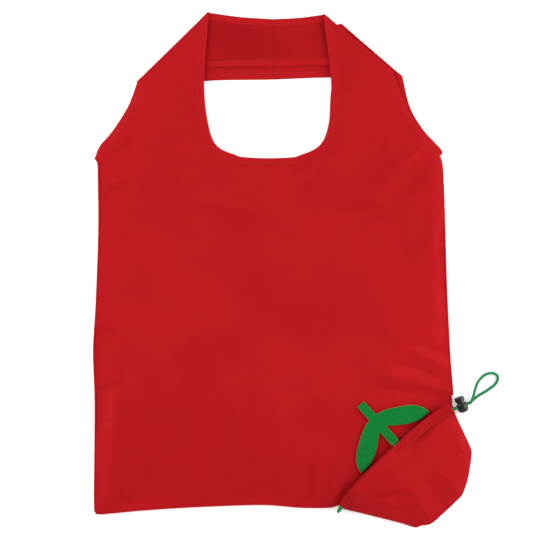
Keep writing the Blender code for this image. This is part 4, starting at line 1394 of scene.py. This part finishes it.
def stitch_tree(material):
    """Geometry Nodes that lay a stitch at every step along a line, turned to follow it."""
    tree = bpy.data.node_groups.new("stitch_row", "GeometryNodeTree")
    tree.interface.new_socket("Line", in_out="INPUT", socket_type="NodeSocketGeometry")
    pitch = tree.interface.new_socket("Pitch", in_out="INPUT", socket_type="NodeSocketFloat")
    tree.interface.new_socket("Stitches", in_out="OUTPUT", socket_type="NodeSocketGeometry")

    def node(kind, settings=None, inputs=None):
        made = tree.nodes.new(kind)
        for key, value in (settings or {}).items():
            setattr(made, key, value)
        for key, value in (inputs or {}).items():
            if isinstance(value, bpy.types.NodeSocket):
                tree.links.new(value, made.inputs[key])
            else:
                made.inputs[key].default_value = value
        return made

    given = node("NodeGroupInput")
    line = node("GeometryNodeMeshToCurve", inputs={"Mesh": given.outputs["Line"]})
    even = node("GeometryNodeResampleCurve", {"mode": "LENGTH"}, {"Curve": line.outputs[0], "Length": given.outputs["Pitch"]})
    tangent = node("GeometryNodeInputTangent")
    turned = node("FunctionNodeAlignRotationToVector", {"axis": "X"}, {"Vector": tangent.outputs[0]})
    ball = node("GeometryNodeMeshUVSphere", inputs={"Segments": 6, "Rings": 5, "Radius": 1.0})
    scale = (0.42 * STITCH, 0.17 * MM, 0.15 * MM)
    stitch = node("GeometryNodeTransform", inputs={"Geometry": ball.outputs["Mesh"], "Scale": scale})
    inputs = {"Points": even.outputs[0], "Instance": stitch.outputs[0], "Rotation": turned.outputs[0]}
    placed = node("GeometryNodeInstanceOnPoints", inputs=inputs)
    real = node("GeometryNodeRealizeInstances", inputs={"Geometry": placed.outputs[0]})
    smooth = node("GeometryNodeSetShadeSmooth", inputs={"Geometry": real.outputs[0]})
    dressed = node("GeometryNodeSetMaterial", inputs={"Geometry": smooth.outputs[0], "Material": material})
    node("NodeGroupOutput", inputs={"Stitches": dressed.outputs[0]})
    return tree, pitch.identifier


STITCH_TREE, STITCH_PITCH = stitch_tree(RED_THREAD)


def stitch_rows(name, lines):
    """One piece with a stitch at every step along all the lines."""
    mesh = bpy.data.meshes.new(name)
    vertices = []
    edges = []
    for line in lines:
        first = len(vertices)
        vertices.extend(tuple(point) for point in line)
        edges.extend((first + i, first + i + 1) for i in range(len(line) - 1))
    mesh.from_pydata(vertices, edges, [])
    draft = link(bpy.data.objects.new(f"{name}_line", mesh))
    modifier = draft.modifiers.new("stitches", "NODES")
    modifier.node_group = STITCH_TREE
    modifier[STITCH_PITCH] = STITCH
    made = bpy.data.meshes.new_from_object(draft.evaluated_get(bpy.context.evaluated_depsgraph_get()))
    bpy.data.objects.remove(draft)
    made.name = name
    piece = link(bpy.data.objects.new(name, made))
    return piece


def window_part(line, curves):
    """The part of a band's line that shows between the straps."""
    left = curves[-1]["inner"][:, 0].min() + 0.0030
    right = 0.0655
    return line[(line[:, 0] > left + 0.002) & (line[:, 0] < right)]


def make_stitches():
    inset_by = HEM - 1.2 * MM
    lift = 0.12 * MM
    neck = np.vstack([FRONT_CURVES[-1]["inner"][::-1], FRONT_CURVES[1]["inner"]])
    low = np.vstack([FRONT_CURVES[-1]["band_low"], FRONT_CURVES[1]["band_low"][::-1]])
    high = np.vstack([FRONT_CURVES[-1]["band_high"], FRONT_CURVES[1]["band_high"][::-1]])
    lines = [
        offset_line(resampled(neck, 400), -inset_by),
        offset_line(resampled(FRONT_CURVES[-1]["outer"], 150), -inset_by),
        offset_line(resampled(FRONT_CURVES[1]["outer"], 150), inset_by),
        window_part(offset_line(resampled(low, 150), inset_by), FRONT_CURVES),
        window_part(offset_line(resampled(high, 150), -inset_by), FRONT_CURVES),
    ]
    front = stitch_rows("front_hem_stitches", [laid_on(FRONT_TREE, line, lift) for line in lines])
    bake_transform(front)
    low = np.vstack([BACK_CURVES[-1]["band_low"], BACK_CURVES[1]["band_low"][::-1]])
    lines = [window_part(offset_line(resampled(low, 150), inset_by), BACK_CURVES)]
    back = stitch_rows("back_band_stitches", [laid_on(BACK_TREE, line, lift) for line in lines])
    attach(back, "back_handle")
    spots = np.linspace(4 * MM, CASING_ALONG[1] - 2 * MM, 80)
    mouth = local_line([(along, mouth_edge(along) + CASING - 0.4 * MM) for along in spots])
    pouch = stitch_rows("pouch_casing_stitches", [laid_on(surface_tree(CASING_FRONT), mouth, lift)])
    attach(pouch, "bag")


make_stitches()

# ---------------------------------------------------------------- floor and light


def make_floor():
    shader = Shader("pale_floor")
    grain = shader.noise(shader.place(), 40.0)
    shader.set(base_color=shader.mix_colour(grain, (0.93, 0.93, 0.93), (0.95, 0.95, 0.95)), roughness=0.9)
    shader.surface.inputs["Emission Color"].default_value = (1.0, 1.0, 1.0, 1.0)
    shader.surface.inputs["Emission Strength"].default_value = 0.35
    size = 3.0
    corners = [(-size, -size, 0.0), (size, -size, 0.0), (size, size, 0.0), (-size, size, 0.0)]
    floor = mesh_piece("floor", corners, [(0, 1, 2, 3)], shader.material, smooth=False)


def make_light(name, position, target, size, power):
    data = bpy.data.lights.new(name, "AREA")
    data.shape = "RECTANGLE"
    data.size, data.size_y = size
    data.energy = power
    light = link(bpy.data.objects.new(name, data))
    light.location = position
    direction = Vector(target) - Vector(position)
    light.rotation_euler = direction.to_track_quat("-Z", "Y").to_euler()


def make_lights():
    world = bpy.data.worlds.new("studio")
    world.use_nodes = True
    world.node_tree.nodes["Background"].inputs["Color"].default_value = (1.0, 1.0, 1.0, 1.0)
    world.node_tree.nodes["Background"].inputs["Strength"].default_value = 0.33
    bpy.context.scene.world = world
    bpy.context.scene.view_settings.view_transform = "Standard"
    middle = (0.0, 0.05, 0.0)
    make_light("softbox_left", (-1.05, 0.25, 0.36), middle, (0.7, 1.3), 15.5)
    make_light("softbox_right", (1.05, 0.12, 0.36), middle, (0.7, 1.3), 16.5)
    make_light("softbox_top", (0.15, 1.35, 0.75), middle, (1.4, 0.9), 6.0)
    make_light("softbox_front", (-0.15, -1.25, 0.75), middle, (1.4, 0.9), 5.2)


make_floor()
make_lights()
